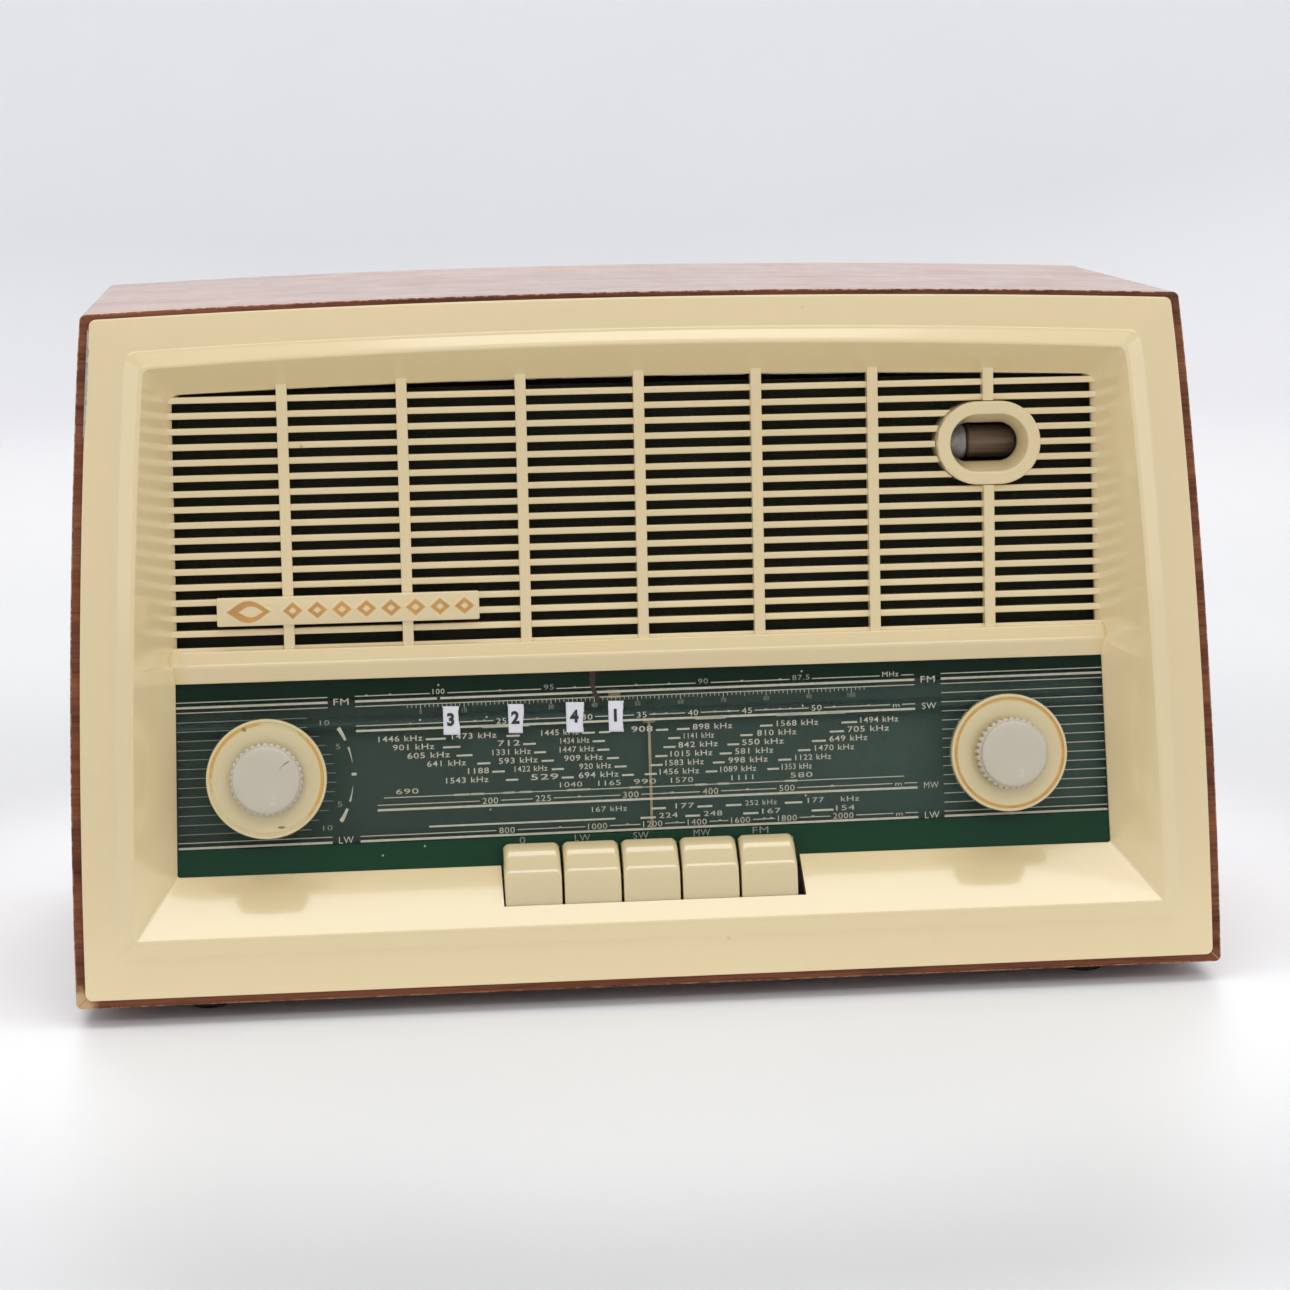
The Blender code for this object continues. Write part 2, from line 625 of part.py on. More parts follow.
def make_double_knob(x, ring_name, cap_name, tube_end, shaft_end):
    ring = [
        (TUBE_RADIUS + GAP, RING_FRONT - 0.5),
        (RING_RADIUS - 1.0, RING_FRONT),
        (RING_RADIUS, RING_FRONT - 0.7),
        (RING_RADIUS, RING_FRONT - 5.4),
        (RING_RADIUS - 1.2, RING_FRONT - 5.8),
        (10.0, RING_FRONT - 5.4),
        (9.0, -GLASS_Y + 0.8),
        (TUBE_RADIUS + GAP, -GLASS_Y + 0.8),
    ]
    cap = [
        (6.0, CAP_FRONT),
        (13.4, CAP_FRONT - 0.4),
        (14.4, CAP_FRONT - 1.4),
        (CAP_RADIUS, CAP_FRONT - 4.0),
        (CAP_RADIUS, RING_FRONT + 1.2),
        (CAP_RADIUS - 1.0, RING_FRONT + 0.6),
        (SHAFT_RADIUS + GAP, RING_FRONT + 0.6),
        (SHAFT_RADIUS + GAP, -1.0),
    ]
    at = (x, 0, KNOB_Z)
    make_object(ring_name, turned(ring, 36, bored=True), CREAM, FACE, at, TOWARDS_LISTENER)
    make_object(cap_name, turned(cap, 24), CAP_CREAM, FACE, at, TOWARDS_LISTENER)
    tube = [(TUBE_BORE, -9.5), (TUBE_RADIUS, -9.5), (TUBE_RADIUS, -tube_end), (TUBE_BORE, -tube_end)]
    make_object(f"{ring_name}_tube", turned(tube, 20, bored=True), STEEL, FACE, at, TOWARDS_LISTENER)
    shaft = cylinder(SHAFT_RADIUS, -shaft_end, -1.3)
    make_object(f"{cap_name}_shaft", shaft, STEEL, FACE, at, TOWARDS_LISTENER)


def make_potentiometer():
    """The double potentiometer behind the left knobs, with a blind bore for its two shafts."""
    profile = [(5.6, -64.0), (5.6, -46.5), (14.0, -46.5), (14.0, -74.0)]
    at = (LEFT_KNOB_X, 0, KNOB_Z)
    make_object("double_potentiometer", turned(profile, 24), STEEL, FACE, at, TOWARDS_LISTENER)


make_double_knob(LEFT_KNOB_X, "tone_ring", "volume_knob", 55.0, 62.0)
make_double_knob(RIGHT_KNOB_X, "am_tuning_ring", "fm_tuning_knob", 47.0, 49.0)
make_potentiometer()


# Keys on one axle


def key_cap_profile():
    """Side view of a key's cap: a nearly upright front, a rounded shoulder and a top that slopes back."""
    front = [(3.6, 26.0), (2.8, 36.0), (3.1, 43.0), (3.5, 49.0)]
    shoulder = [(4.5, 51.0), (8.6, 56.8), (12.0, 59.4)]
    top = [(14.6, 60.6), (16.4, 60.2), (16.8, 58.8)]
    return front + shoulder + top + [(16.8, 44.0), (15.0, 26.0)]


def make_keys():
    cap = [(y - AXLE_Y, z - AXLE_Z) for y, z in key_cap_profile()]
    lever = [(-48.0, -15.0), (-48.0, -5.0), (-36.0, -4.5), (-14.0, 3.5)]
    lever += arc((0, 0), 5.0, 135, -115, 10) + [(-30.0, -12.5)]
    lever = make_object("key_lever", prism(lever, -3, 3), None, helper=True)
    bore = make_object("key_bore", cylinder(AXLE_RADIUS + 0.4, -20, 20), None, turn=ALONG_X, helper=True)
    key = make_object("key", prism(cap, -KEY_WIDTH / 2, KEY_WIDTH / 2), CREAM)
    combine(key, lever, "UNION")
    combine(key, bore, "DIFFERENCE")
    mesh = settled_mesh(key)
    for k in range(KEY_COUNT):
        x = KEY_MIDDLE_X + (k - (KEY_COUNT - 1) / 2) * KEY_PITCH
        place_mesh(f"key_{k + 1}", mesh, FACE, (x, AXLE_Y, AXLE_Z))
    for helper in (lever, bore):
        bpy.data.objects.remove(helper, do_unlink=True)


def make_key_frame():
    frame = blocks(
        ((-70.0, 46.5, 24.5), (70.0, 78.0, 26.0)),
        ((-70.0, 46.5, 24.5), (-68.5, 78.0, 50.0)),
        ((68.5, 46.5, 24.5), (70.0, 78.0, 50.0)),
    )
    frame = make_object("key_frame", frame, STEEL, FACE)
    bore = cylinder(AXLE_RADIUS + 0.4, -90, 90)
    bore = make_object("key_frame_bore", bore, None, FACE, (0, AXLE_Y, AXLE_Z), ALONG_X, helper=True)
    combine(frame, bore, "DIFFERENCE")
    make_object("key_axle", cylinder(AXLE_RADIUS, -72, 72), STEEL, FACE, (0, AXLE_Y, AXLE_Z), ALONG_X)


make_keys()
make_key_frame()


# Front plate, cord drive and tuning capacitor, in the face frame


def make_front_plate():
    back = FRONT_PLATE_Y + FRONT_PLATE_THICK
    plate = blocks(
        ((-204, FRONT_PLATE_Y, 24), (-66, back, 50)),
        ((66, FRONT_PLATE_Y, 24), (204, back, 50)),
        ((-204, FRONT_PLATE_Y, 50), (204, back, 136)),
    )
    plate = make_object("front_plate", plate, STEEL, FACE)
    shaft_holes(plate, 6.5)
    hole = cylinder(4.5, -60, 0)
    hole = make_object("drum_hole", hole, None, FACE, (DRUM_X, 0, DRUM_Z), TOWARDS_LISTENER, helper=True)
    combine(plate, hole, "DIFFERENCE")


def belt(circles, steps):
    """The path of a cord round circles (x, z, radius) in anticlockwise order, as (x, z) points."""
    path = []
    for k, (x, z, radius) in enumerate(circles):
        bounds = []
        for other, sign in ((circles[k - 1], -1), (circles[(k + 1) % len(circles)], 1)):
            dx, dz = other[0] - x, other[1] - z
            bearing = math.atan2(dz, dx)
            bounds.append(bearing - sign * math.acos((radius - other[2]) / math.hypot(dx, dz)))
        start, end = bounds
        while end < start:
            end += 2 * math.pi
        path += arc((x, z), radius, math.degrees(start), math.degrees(end), steps)
    return path


def make_cord_drive():
    guide = [(GUIDE_GROOVE + 2, -CORD_Y - 1.8), (GUIDE_GROOVE, -CORD_Y - 0.6), (GUIDE_GROOVE, -CORD_Y + 0.6)]
    guide.append((GUIDE_GROOVE + 2, -CORD_Y + 1.5))
    guide = [(3.0, -FRONT_PLATE_Y + GAP), (3.0, -CORD_Y - 1.8)] + guide
    for name, x in (("cord_guide_left", -GUIDE_X), ("cord_guide_right", GUIDE_X)):
        make_object(name, turned(guide, 16), NYLON, FACE, (x, 0, GUIDE_Z), TOWARDS_LISTENER)
    reach = CORD_RADIUS + GAP
    path = belt(
        [
            (GUIDE_X, GUIDE_Z, GUIDE_GROOVE + reach),
            (-GUIDE_X, GUIDE_Z, GUIDE_GROOVE + reach),
            (DRUM_X, DRUM_Z, DRUM_GROOVE + reach),
        ],
        8,
    )
    sections = []
    for k, (x, z) in enumerate(path):
        before, after = path[k - 1], path[(k + 1) % len(path)]
        along = Vector((after[0] - before[0], 0, after[1] - before[1])).normalized()
        across = Vector((along.z, 0, -along.x))
        ring = arc((0, 0), CORD_RADIUS, 0, 288, 4)
        sections.append([Vector((x, CORD_Y + b, z)) + across * a for a, b in ring])
    make_object("dial_cord", sweep(sections, closed=True), CORD, FACE)


def make_drum_and_rotor():
    """The cord drum, and the capacitor's rotor behind it on a shaft of its own in the drum's bore."""
    at = (DRUM_X, 0, DRUM_Z)
    drum = [
        (3.3, -41.5),
        (8.0, -41.5),
        (8.0, -39.0),
        (DRUM_GROOVE + 2, -39.0),
        (DRUM_GROOVE, -CORD_Y - 0.6),
        (DRUM_GROOVE, -CORD_Y + 0.6),
        (DRUM_GROOVE + 2, -35.5),
        (3.3, -35.5),
    ]
    make_object("dial_drum", turned(drum, 24, bored=True), NYLON, FACE, at, TOWARDS_LISTENER)
    rotor = make_object("tuning_rotor", cylinder(3.0, -76.0, -36.0), STEEL, FACE, at, TOWARDS_LISTENER)
    leaves = []
    for k in range(4):
        y = 54.0 + 6.0 * k
        leaves.append(prism(arc((0, 0), 16.0, 90, 270, 12), y, y + 1.2, "Y"))
    leaves = make_object("rotor_leaves", join(leaves), None, FACE, at, helper=True)
    combine(rotor, leaves, "UNION")


def make_capacitor_frame():
    rails = [((-22.0, 48.0, -20.0), (-19.0, 80.0, -4.0)), ((19.0, 48.0, -20.0), (22.0, 80.0, -4.0))]
    ends = [((-22.0, y, -20.0), (22.0, y + 1.5, 7.0)) for y in (48.0, 78.5)]
    leaves = [((-19.0, 57.0 + 6.0 * k, -18.0), (19.0, 58.2 + 6.0 * k, -5.0)) for k in range(3)]
    frame = make_object("tuning_capacitor", blocks(*rails, *ends, *leaves), STEEL, FACE, (DRUM_X, 0, DRUM_Z))
    bore = cylinder(3.5, -60, -40)
    bore = make_object("capacitor_bore", bore, None, FACE, (DRUM_X, 0, DRUM_Z), TOWARDS_LISTENER, helper=True)
    combine(frame, bore, "DIFFERENCE")


make_front_plate()
make_cord_drive()
make_drum_and_rotor()
make_capacitor_frame()
tuner = box((124, 51.0, 68), (186, 92.0, 112))
round_edges(make_object("fm_tuner", tuner, STEEL, FACE), 1.5)


# Chassis and what stands on it, in the world frame


def make_chassis():
    def ear(x):
        return ((x - SHEET / 2, -58.0, 26.0), (x + SHEET / 2, CHASSIS_FRONT, 56.0))

    half = CHASSIS_HALF
    chassis = blocks(
        ((-half, CHASSIS_FRONT, CHASSIS_TOP - SHEET), (half, CHASSIS_BACK, CHASSIS_TOP)),
        ((-half, CHASSIS_FRONT, CHASSIS_FOOT), (half, CHASSIS_FRONT + SHEET, CHASSIS_TOP)),
        ((-half, CHASSIS_BACK - SHEET, CHASSIS_FOOT), (half, CHASSIS_BACK, CHASSIS_TOP)),
        ear(-half + 1.0),
        ear(half - 1.0),
    )
    make_object("chassis", chassis, STEEL)


def stand(name, bm, x, y, material):
    return make_object(name, bm, material, at=(x, y, CHASSIS_TOP + GAP))


def make_valve(name, x, y, height):
    profile = [(9.5, 0.0), (9.5, 6.0), (11.0, 8.0), (11.0, height - 12)]
    profile += [(8.0, height - 5), (2.5, height - 2), (2.0, height)]
    stand(name, turned(profile, 16), x, y, TUBE_GLASS)


def make_chassis_pieces():
    make_valve("mixer_valve", -118.0, 40.0, 62.0)
    make_valve("audio_valve", -62.0, 52.0, 62.0)
    make_valve("output_valve", -8.0, 60.0, 78.0)
    can = blocks(((-12.5, -12.5, 0), (12.5, 12.5, 48.0)))
    round_edges(stand("if_transformer", can, -90.0, 5.0, STEEL), 2.0)
    core = blocks(((-37.5, -15.0, 0), (37.5, 15.0, 62.0)), ((-26.0, -27.0, 10.0), (26.0, 27.0, 52.0)))
    stand("mains_transformer", core, 148.0, 58.0, DARK_METAL)
    core = blocks(((-22.0, -9.0, 0), (22.0, 9.0, 38.0)), ((-14.0, -17.0, 6.0), (14.0, 17.0, 32.0)))
    stand("output_transformer", core, -170.0, 30.0, DARK_METAL)


make_chassis()
make_chassis_pieces()


# Back cover, its battens and screws, and the feet

COVER_FRONT, COVER_THICK = 111.8, 3.0
SCREWS = [(-205.0, 42.0), (205.0, 42.0), (-200.0, 250.0), (200.0, 250.0)]
INLET_X, INLET_Z = 150.0, 40.0


def world_loop(inset, y):
    loop = outline(inset, inset, inset, 2.0)
    return [(x, y, FOOT_HEIGHT + height * math.cos(FRONT_LEAN)) for x, height in loop]


def make_back_cover():
    """The vented cover lies inside the boards' back edges, on the battens."""
    inset = BOARD + 0.6
    loops = [world_loop(inset, COVER_FRONT), world_loop(inset, COVER_FRONT + COVER_THICK)]
    cover = make_object("back_cover", sweep(loops, closed=False), BOARD_BROWN)
    slots = []
    for z in (66.0, 82.0, 98.0, 212.0, 228.0, 244.0):
        for k in range(7):
            x = (k - 3) * 50.0
            slots.append(box((x - 19, 100, z), (x + 19, 130, z + 5)))
    slots = make_object("cover_slots", join(slots), None, helper=True)
    combine(cover, slots, "DIFFERENCE")
    holes = [prism(arc((x, z), 2.4, 0, 330, 11), 100, 130, "Y") for x, z in SCREWS]
    holes.append(prism(arc((INLET_X, INLET_Z), 10.4, 0, 345, 23), 100, 130, "Y"))
    holes = make_object("cover_holes", join(holes), None, helper=True)
    combine(cover, holes, "DIFFERENCE")


def make_battens():
    for name, side in (("back_batten_left", -1), ("back_batten_right", 1)):
        low, high = sorted((side * 195.0, side * 215.0))
        batten = box((low, 93.0, 30.0), (high, COVER_FRONT - GAP, 268.0))
        batten = make_object(name, batten, WOOD)
        holes = [prism(arc((x, z), 2.0, 0, 315, 7), 98, 130, "Y") for x, z in SCREWS if x * side > 0]
        holes = make_object(f"{name}_holes", join(holes), None, helper=True)
        combine(batten, holes, "DIFFERENCE")


def make_screws():
    back = -(COVER_FRONT + COVER_THICK + GAP)
    profile = [(1.6, back + 12.0), (1.6, back), (4.0, back), (3.6, back - 1.0), (2.0, back - 1.6)]
    for k, (x, z) in enumerate(SCREWS):
        make_object(f"back_screw_{k + 1}", turned(profile, 12), STEEL, at=(x, 0, z), turn=TOWARDS_LISTENER)


def make_inlet():
    """A round rubber gland with the mains lead's hole through it."""
    front, back = -(COVER_FRONT - 2.5), -(COVER_FRONT + COVER_THICK)
    profile = [(3.6, front), (9.9, front), (9.9, back - GAP), (12.0, back - GAP)]
    profile += [(11.0, back - 1.9), (3.6, back - 1.9)]
    at = (INLET_X, 0, INLET_Z)
    make_object("mains_gland", turned(profile, 20, bored=True), RUBBER, at=at, turn=TOWARDS_LISTENER)


def make_feet():
    profile = [(7.4, 0.0), (8.8, 1.6), (9.5, 4.6), (9.5, FOOT_HEIGHT - GAP)]
    for end, y in (("front", -86.5), ("back", 88.0)):
        for side, x in (("left", -188.0), ("right", 188.0)):
            make_object(f"foot_{end}_{side}", turned(profile, 24), RUBBER, at=(x, y, 0))


make_back_cover()
make_battens()
make_screws()
make_inlet()
make_feet()
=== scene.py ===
import json
import math
import random

import bmesh
import bpy
import numpy as np
from mathutils import Matrix, Vector


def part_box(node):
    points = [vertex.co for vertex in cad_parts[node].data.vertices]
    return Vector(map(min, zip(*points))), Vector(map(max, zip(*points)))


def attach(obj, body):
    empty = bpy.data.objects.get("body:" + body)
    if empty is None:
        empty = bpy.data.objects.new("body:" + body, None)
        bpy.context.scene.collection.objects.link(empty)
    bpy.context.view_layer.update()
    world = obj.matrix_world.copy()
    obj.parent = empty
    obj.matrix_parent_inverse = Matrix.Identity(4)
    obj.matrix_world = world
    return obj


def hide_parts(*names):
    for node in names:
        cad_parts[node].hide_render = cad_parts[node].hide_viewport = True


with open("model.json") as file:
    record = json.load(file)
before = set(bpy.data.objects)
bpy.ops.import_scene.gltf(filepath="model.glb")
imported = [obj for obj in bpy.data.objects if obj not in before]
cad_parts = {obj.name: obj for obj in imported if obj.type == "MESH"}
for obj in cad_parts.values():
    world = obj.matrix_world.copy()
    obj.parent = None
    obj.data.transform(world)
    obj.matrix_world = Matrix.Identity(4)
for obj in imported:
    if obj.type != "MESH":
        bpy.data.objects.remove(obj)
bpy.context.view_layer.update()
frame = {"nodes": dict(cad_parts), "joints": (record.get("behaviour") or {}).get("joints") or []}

MM = 0.001
RIGHT_ANGLE = math.pi / 2
rng = random.Random(11)

# ---- frames
# Lengths below are millimetres. The face frame lies in the leaning front of the cabinet and the
# grille frame in the loudspeaker grille: x to the right, y into the radio, z up along the lean.

JOINTS = {j["name"]: j for j in frame["joints"]}


def knob_axis(name):
    joint = JOINTS[name]
    return Vector(joint["axis"]), Vector(joint["pos_m"]) / MM


LEAN = math.atan2(-knob_axis("volume_turn")[0].z, knob_axis("volume_turn")[0].y)
GRILLE_LEAN = math.radians(4.45)
FRONT_Y, BACK_Y, FOOT_HEIGHT = -115.0, 116.9, 8.0
GRILLE_AT = (0.0, -64.6, 204.5)


def frame_matrix(at, lean):
    return Matrix.Translation(Vector(at)) @ Matrix.Rotation(-lean, 4, "X")


FACE = frame_matrix((0, FRONT_Y, FOOT_HEIGHT), LEAN)
GRILLE = frame_matrix(GRILLE_AT, GRILLE_LEAN)
WORLD = Matrix.Identity(4)
TO_FACE = FACE.inverted()

# ---- sizes

FACE_HEIGHT, CROWN = 286.3, 5.0
HALF_WIDTH_TOP, HALF_WIDTH_GAIN, SIDE_BULGE = 231.5, 10.5, 12.4
BOARD, BOARD_CORNER, EDGE_ROUND = 9.0, 2.6, 0.5
FLANGE_FRONT, FLANGE_BACK, FLANGE_INSET, RIDGE_Y = -2.6, -0.3, 4.05, -6.0
DIAL_LIP_Y, DIAL_BOTTOM, DIAL_TOP = 18.3, 51.3, 132.4
RAIL_MIDDLE, RAIL_TOP, RAIL_RIDGE_Y, RAIL_LIP = 139.5, 145.8, 14.6, 1.7
OPENING_HALF_FOOT, OPENING_TAPER, OPENING_TOP, OPENING_SAG = 200.9, 0.0215, 256.9, 9.0e-5
WALL = 2.6
RIDGE_INSET, RIDGE_LEAN = 24.5, 1.9 / 270.0
SPREAD, SPREAD_GAIN, SPREAD_FROM = 1.2, 0.008, 150.0
SLOT_LEFT, SLOT_RIGHT = -63.9, 64.0
SLAT_COUNT, SLAT_PITCH, SLAT_HEIGHT = 16, 6.54, 2.8
SLAT_FRONT, SLAT_BACK, SLAT_ROUND = 0.2, 4.6, 0.8
POST_COUNT, POST_PITCH, POST_WIDTH, POST_PROUD = 7, 50.0, 4.6, 3.0
POST_BACK, POST_ROUND, POST_FOOT = 2.4, 0.7, -58.0
BADGE_BOX = (-179.8, -69.8, -45.7, -33.7)
CLOTH_BOX, CLOTH_Y, CLOTH_OVERLAP, CLOTH_WAVE = (-203.0, 203.0, -57.0, 51.0), 9.9, 2.2, 0.14
INDICATOR_X, INDICATOR_Z, TUBE_Y = 150.0, 23.0, 20.5
BEZEL_WIDTH, BEZEL_HEIGHT = 44.8, 35.6
GLASS_Y = 19.9
LEFT_KNOB = TO_FACE @ knob_axis("volume_turn")[1]
RIGHT_KNOB = TO_FACE @ knob_axis("fm_tuning_turn")[1]
RING_TEETH, KNURL_DEPTH, CAP_BEADS, BEAD_DEPTH = 120, 0.24, 34, 1.15
KEY_COUNT, KEY_WIDTH, KEY_MIDDLE, KEY_BLEND = 5, 24.0, 44.0, 12.0
KEY_EDGE, KEY_EDGE_GAIN = 0.8, 2.1
JOINT_GAP = 0.06  # half of the gap between neighbouring boards
EDGE_SHARE, TINY = 0.45, 1e-6  # the share of an edge that a corner's rounding may take, and a floor


# ---- mesh helpers


def half_width(height):
    down = (FACE_HEIGHT - height) / FACE_HEIGHT
    return HALF_WIDTH_TOP + HALF_WIDTH_GAIN * down + SIDE_BULGE * down * (1 - down)


def new_object(name, shape, matrix, materials=(), smooth=45, indices=None, place=None):
    """A mesh from points in millimetres. matrix is baked into the points, place is the object's own."""
    verts, faces = shape
    mesh = bpy.data.meshes.new(name)
    mesh.from_pydata([(matrix @ Vector(p)) * MM for p in verts], [], faces)
    for material in materials:
        mesh.materials.append(material)
    if indices is not None:
        mesh.polygons.foreach_set("material_index", indices)
    bm = bmesh.new()
    bm.from_mesh(mesh)
    bmesh.ops.recalc_face_normals(bm, faces=bm.faces)
    bm.to_mesh(mesh)
    bm.free()
    mesh.shade_smooth()
    if smooth is not None:
        mesh.set_sharp_from_angle(angle=math.radians(smooth))
    obj = bpy.data.objects.new(name, mesh)
    bpy.context.scene.collection.objects.link(obj)
    if place is not None:
        obj.matrix_world = Matrix.Translation(place.translation * MM) @ place.to_3x3().to_4x4()
    return obj


def skin(sections, closed=False, capped=True, loop=True):
    """Points and faces over sections with the same number of points each."""
    verts = [tuple(p) for section in sections for p in section]
    count, rows = len(sections[0]), len(sections)
    faces = []
    for r in range(rows if closed else rows - 1):
        a, b = r * count, ((r + 1) % rows) * count
        for k in range(count if loop else count - 1):
            n = (k + 1) % count
            faces.append((a + k, a + n, b + n, b + k))
    if not closed and capped:
        faces.append(tuple(range(count)))
        faces.append(tuple((rows - 1) * count + k for k in range(count)))
    return verts, faces


def grid(rows):
    """An open sheet over rows of points."""
    return skin(rows, capped=False, loop=False)


def merged(parts):
    verts, faces = [], []
    for v, f in parts:
        base = len(verts)
        verts += list(v)
        faces += [tuple(i + base for i in face) for face in f]
    return verts, faces


def quarter(a, corner, b, steps):
    """Points of a short curve from a to b that bends towards the corner."""
    shares = [s / steps for s in range(steps + 1)]
    return [a * (1 - t) ** 2 + corner * 2 * t * (1 - t) + b * t * t for t in shares]


def rounded(points, radii, steps=4):
    """A closed polyline with its corners replaced by short curves of about the given radii."""
    points = [Vector(p) for p in points]
    out, count = [], len(points)
    for i, p in enumerate(points):
        r = radii[i] if hasattr(radii, "__len__") else radii
        if r <= 0:
            out.append(tuple(p))
            continue
        before, after = points[i - 1], points[(i + 1) % count]
        a = p + (before - p) * min(EDGE_SHARE, r / max((before - p).length, TINY))
        b = p + (after - p) * min(EDGE_SHARE, r / max((after - p).length, TINY))
        out += [tuple(q) for q in quarter(a, p, b, steps)]
    return out


def box_points(x0, x1, y0, y1, z0, z1):
    """A plain bar along X: sections for skin()."""
    return [[(x, y0, z0), (x, y1, z0), (x, y1, z1), (x, y0, z1)] for x in (x0, x1)]


def turned_points(profile, segments, wave=None):
    """A profile of (radius, height) turned about Z. wave(angle, row) is added to the radius."""
    sections = []
    for row, (radius, height) in enumerate(profile):
        ring = []
        for k in range(segments):
            a = 2 * math.pi * k / segments
            r = radius + (wave(a, row) if wave else 0.0)
            ring.append((r * math.cos(a), r * math.sin(a), height))
        sections.append(ring)
    return sections


def arc(centre, radius, start, end, steps):
    angles = [math.radians(start + (end - start) * k / steps) for k in range(steps + 1)]
    return [(centre[0] + radius * math.cos(a), centre[1] + radius * math.sin(a)) for a in angles]


def stadium(width, height, steps=16):
    radius = height / 2
    reach = width / 2 - radius
    return arc((reach, 0), radius, -90, 90, steps) + arc((-reach, 0), radius, 90, 270, steps)


# ---- pieces and materials


def piece(name, shape, matrix, looks, smooth, node=None, body="cabinet", indices=None, place=None):
    """A finished piece of a body, standing for a CAD node where one is given."""
    obj = new_object(name, shape, matrix, looks, smooth, indices, place)
    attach(obj, body)
    if node:
        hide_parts(node)
    return obj


class Nodes:
    """A small builder for shader trees. Kinds of node are named without ShaderNode in front."""

    def __init__(self, name):
        self.material = bpy.data.materials.new(name)
        self.material.use_nodes = True
        self.tree = self.material.node_tree
        self.shader = self.tree.nodes["Principled BSDF"]
        self.coords = self.node("TexCoord", "Object")

    def put(self, socket, value):
        if isinstance(value, bpy.types.NodeSocket):
            self.tree.links.new(value, socket)
        elif hasattr(value, "__len__") and len(value) == 3 and socket.type == "RGBA":
            socket.default_value = (*value, 1.0)
        else:
            socket.default_value = value

    def set(self, **inputs):
        for key, value in inputs.items():
            self.put(self.shader.inputs[key.replace("_", " ")], value)

    def node(self, kind, output, inputs=None, **settings):
        """One output of a new node with the given settings and inputs."""
        made = self.tree.nodes.new("ShaderNode" + kind)
        for key, value in settings.items():
            setattr(made, key, value)
        for key, value in (inputs or {}).items():
            self.put(made.inputs[key], value)
        return made.outputs[output]

    def axis(self, letter):
        return self.node("SeparateXYZ", letter, {0: self.coords})

    def scaled(self, scale):
        return self.node("Mapping", "Vector", {"Vector": self.coords, "Scale": scale})

    def noise(self, scale, detail=3.0, roughness=0.5, vector=None, distortion=0.0):
        inputs = {"Scale": scale, "Detail": detail, "Roughness": roughness, "Distortion": distortion}
        return self.node("TexNoise", "Fac", {"Vector": vector or self.coords, **inputs})

    def ramp(self, value, *stops, interpolation="LINEAR"):
        colour = self.node("ValToRGB", "Color", {"Fac": value})
        colour.node.color_ramp.interpolation = interpolation
        elements = colour.node.color_ramp.elements
        while len(elements) < len(stops):
            elements.new(0.5)
        for element, (position, tone) in zip(elements, stops):
            element.position = position
            element.color = (*(tone if hasattr(tone, "__len__") else (tone,) * 3), 1.0)
        return colour

    def mix(self, factor, a, b, blend="MIX"):
        return self.node("Mix", 2, {0: factor, 6: a, 7: b}, data_type="RGBA", blend_type=blend)

    def math(self, operation, a, b=0.0):
        return self.node("Math", 0, {0: a, 1: b}, operation=operation)

    def product(self, a, b, c):
        return self.math("MULTIPLY", self.math("MULTIPLY", a, b), c)

    def vector_math(self, operation, a, b=(0, 0, 0)):
        output = "Value" if operation in ("DOT_PRODUCT", "LENGTH") else "Vector"
        return self.node("VectorMath", output, {0: a, 1: b}, operation=operation)

    def bump(self, height, strength, distance, normal=None):
        under = {} if normal is None else {"Normal": normal}
        inputs = {"Height": height, "Strength": strength, "Distance": distance, **under}
        return self.node("Bump", "Normal", inputs)

    def occlusion(self, distance):
        return self.node("AmbientOcclusion", "AO", {"Distance": distance}, samples=6)

    def spread(self, value, start, end, low=0.0, high=1.0):
        """A number that runs from low to high as value runs from start to end."""
        inputs = {"From Min": start, "From Max": end, "To Min": low, "To Max": high}
        return self.node("MapRange", "Result", {"Value": value, **inputs})


def shade(colour, factor):
    return tuple(min(1.0, c * factor) for c in colour)


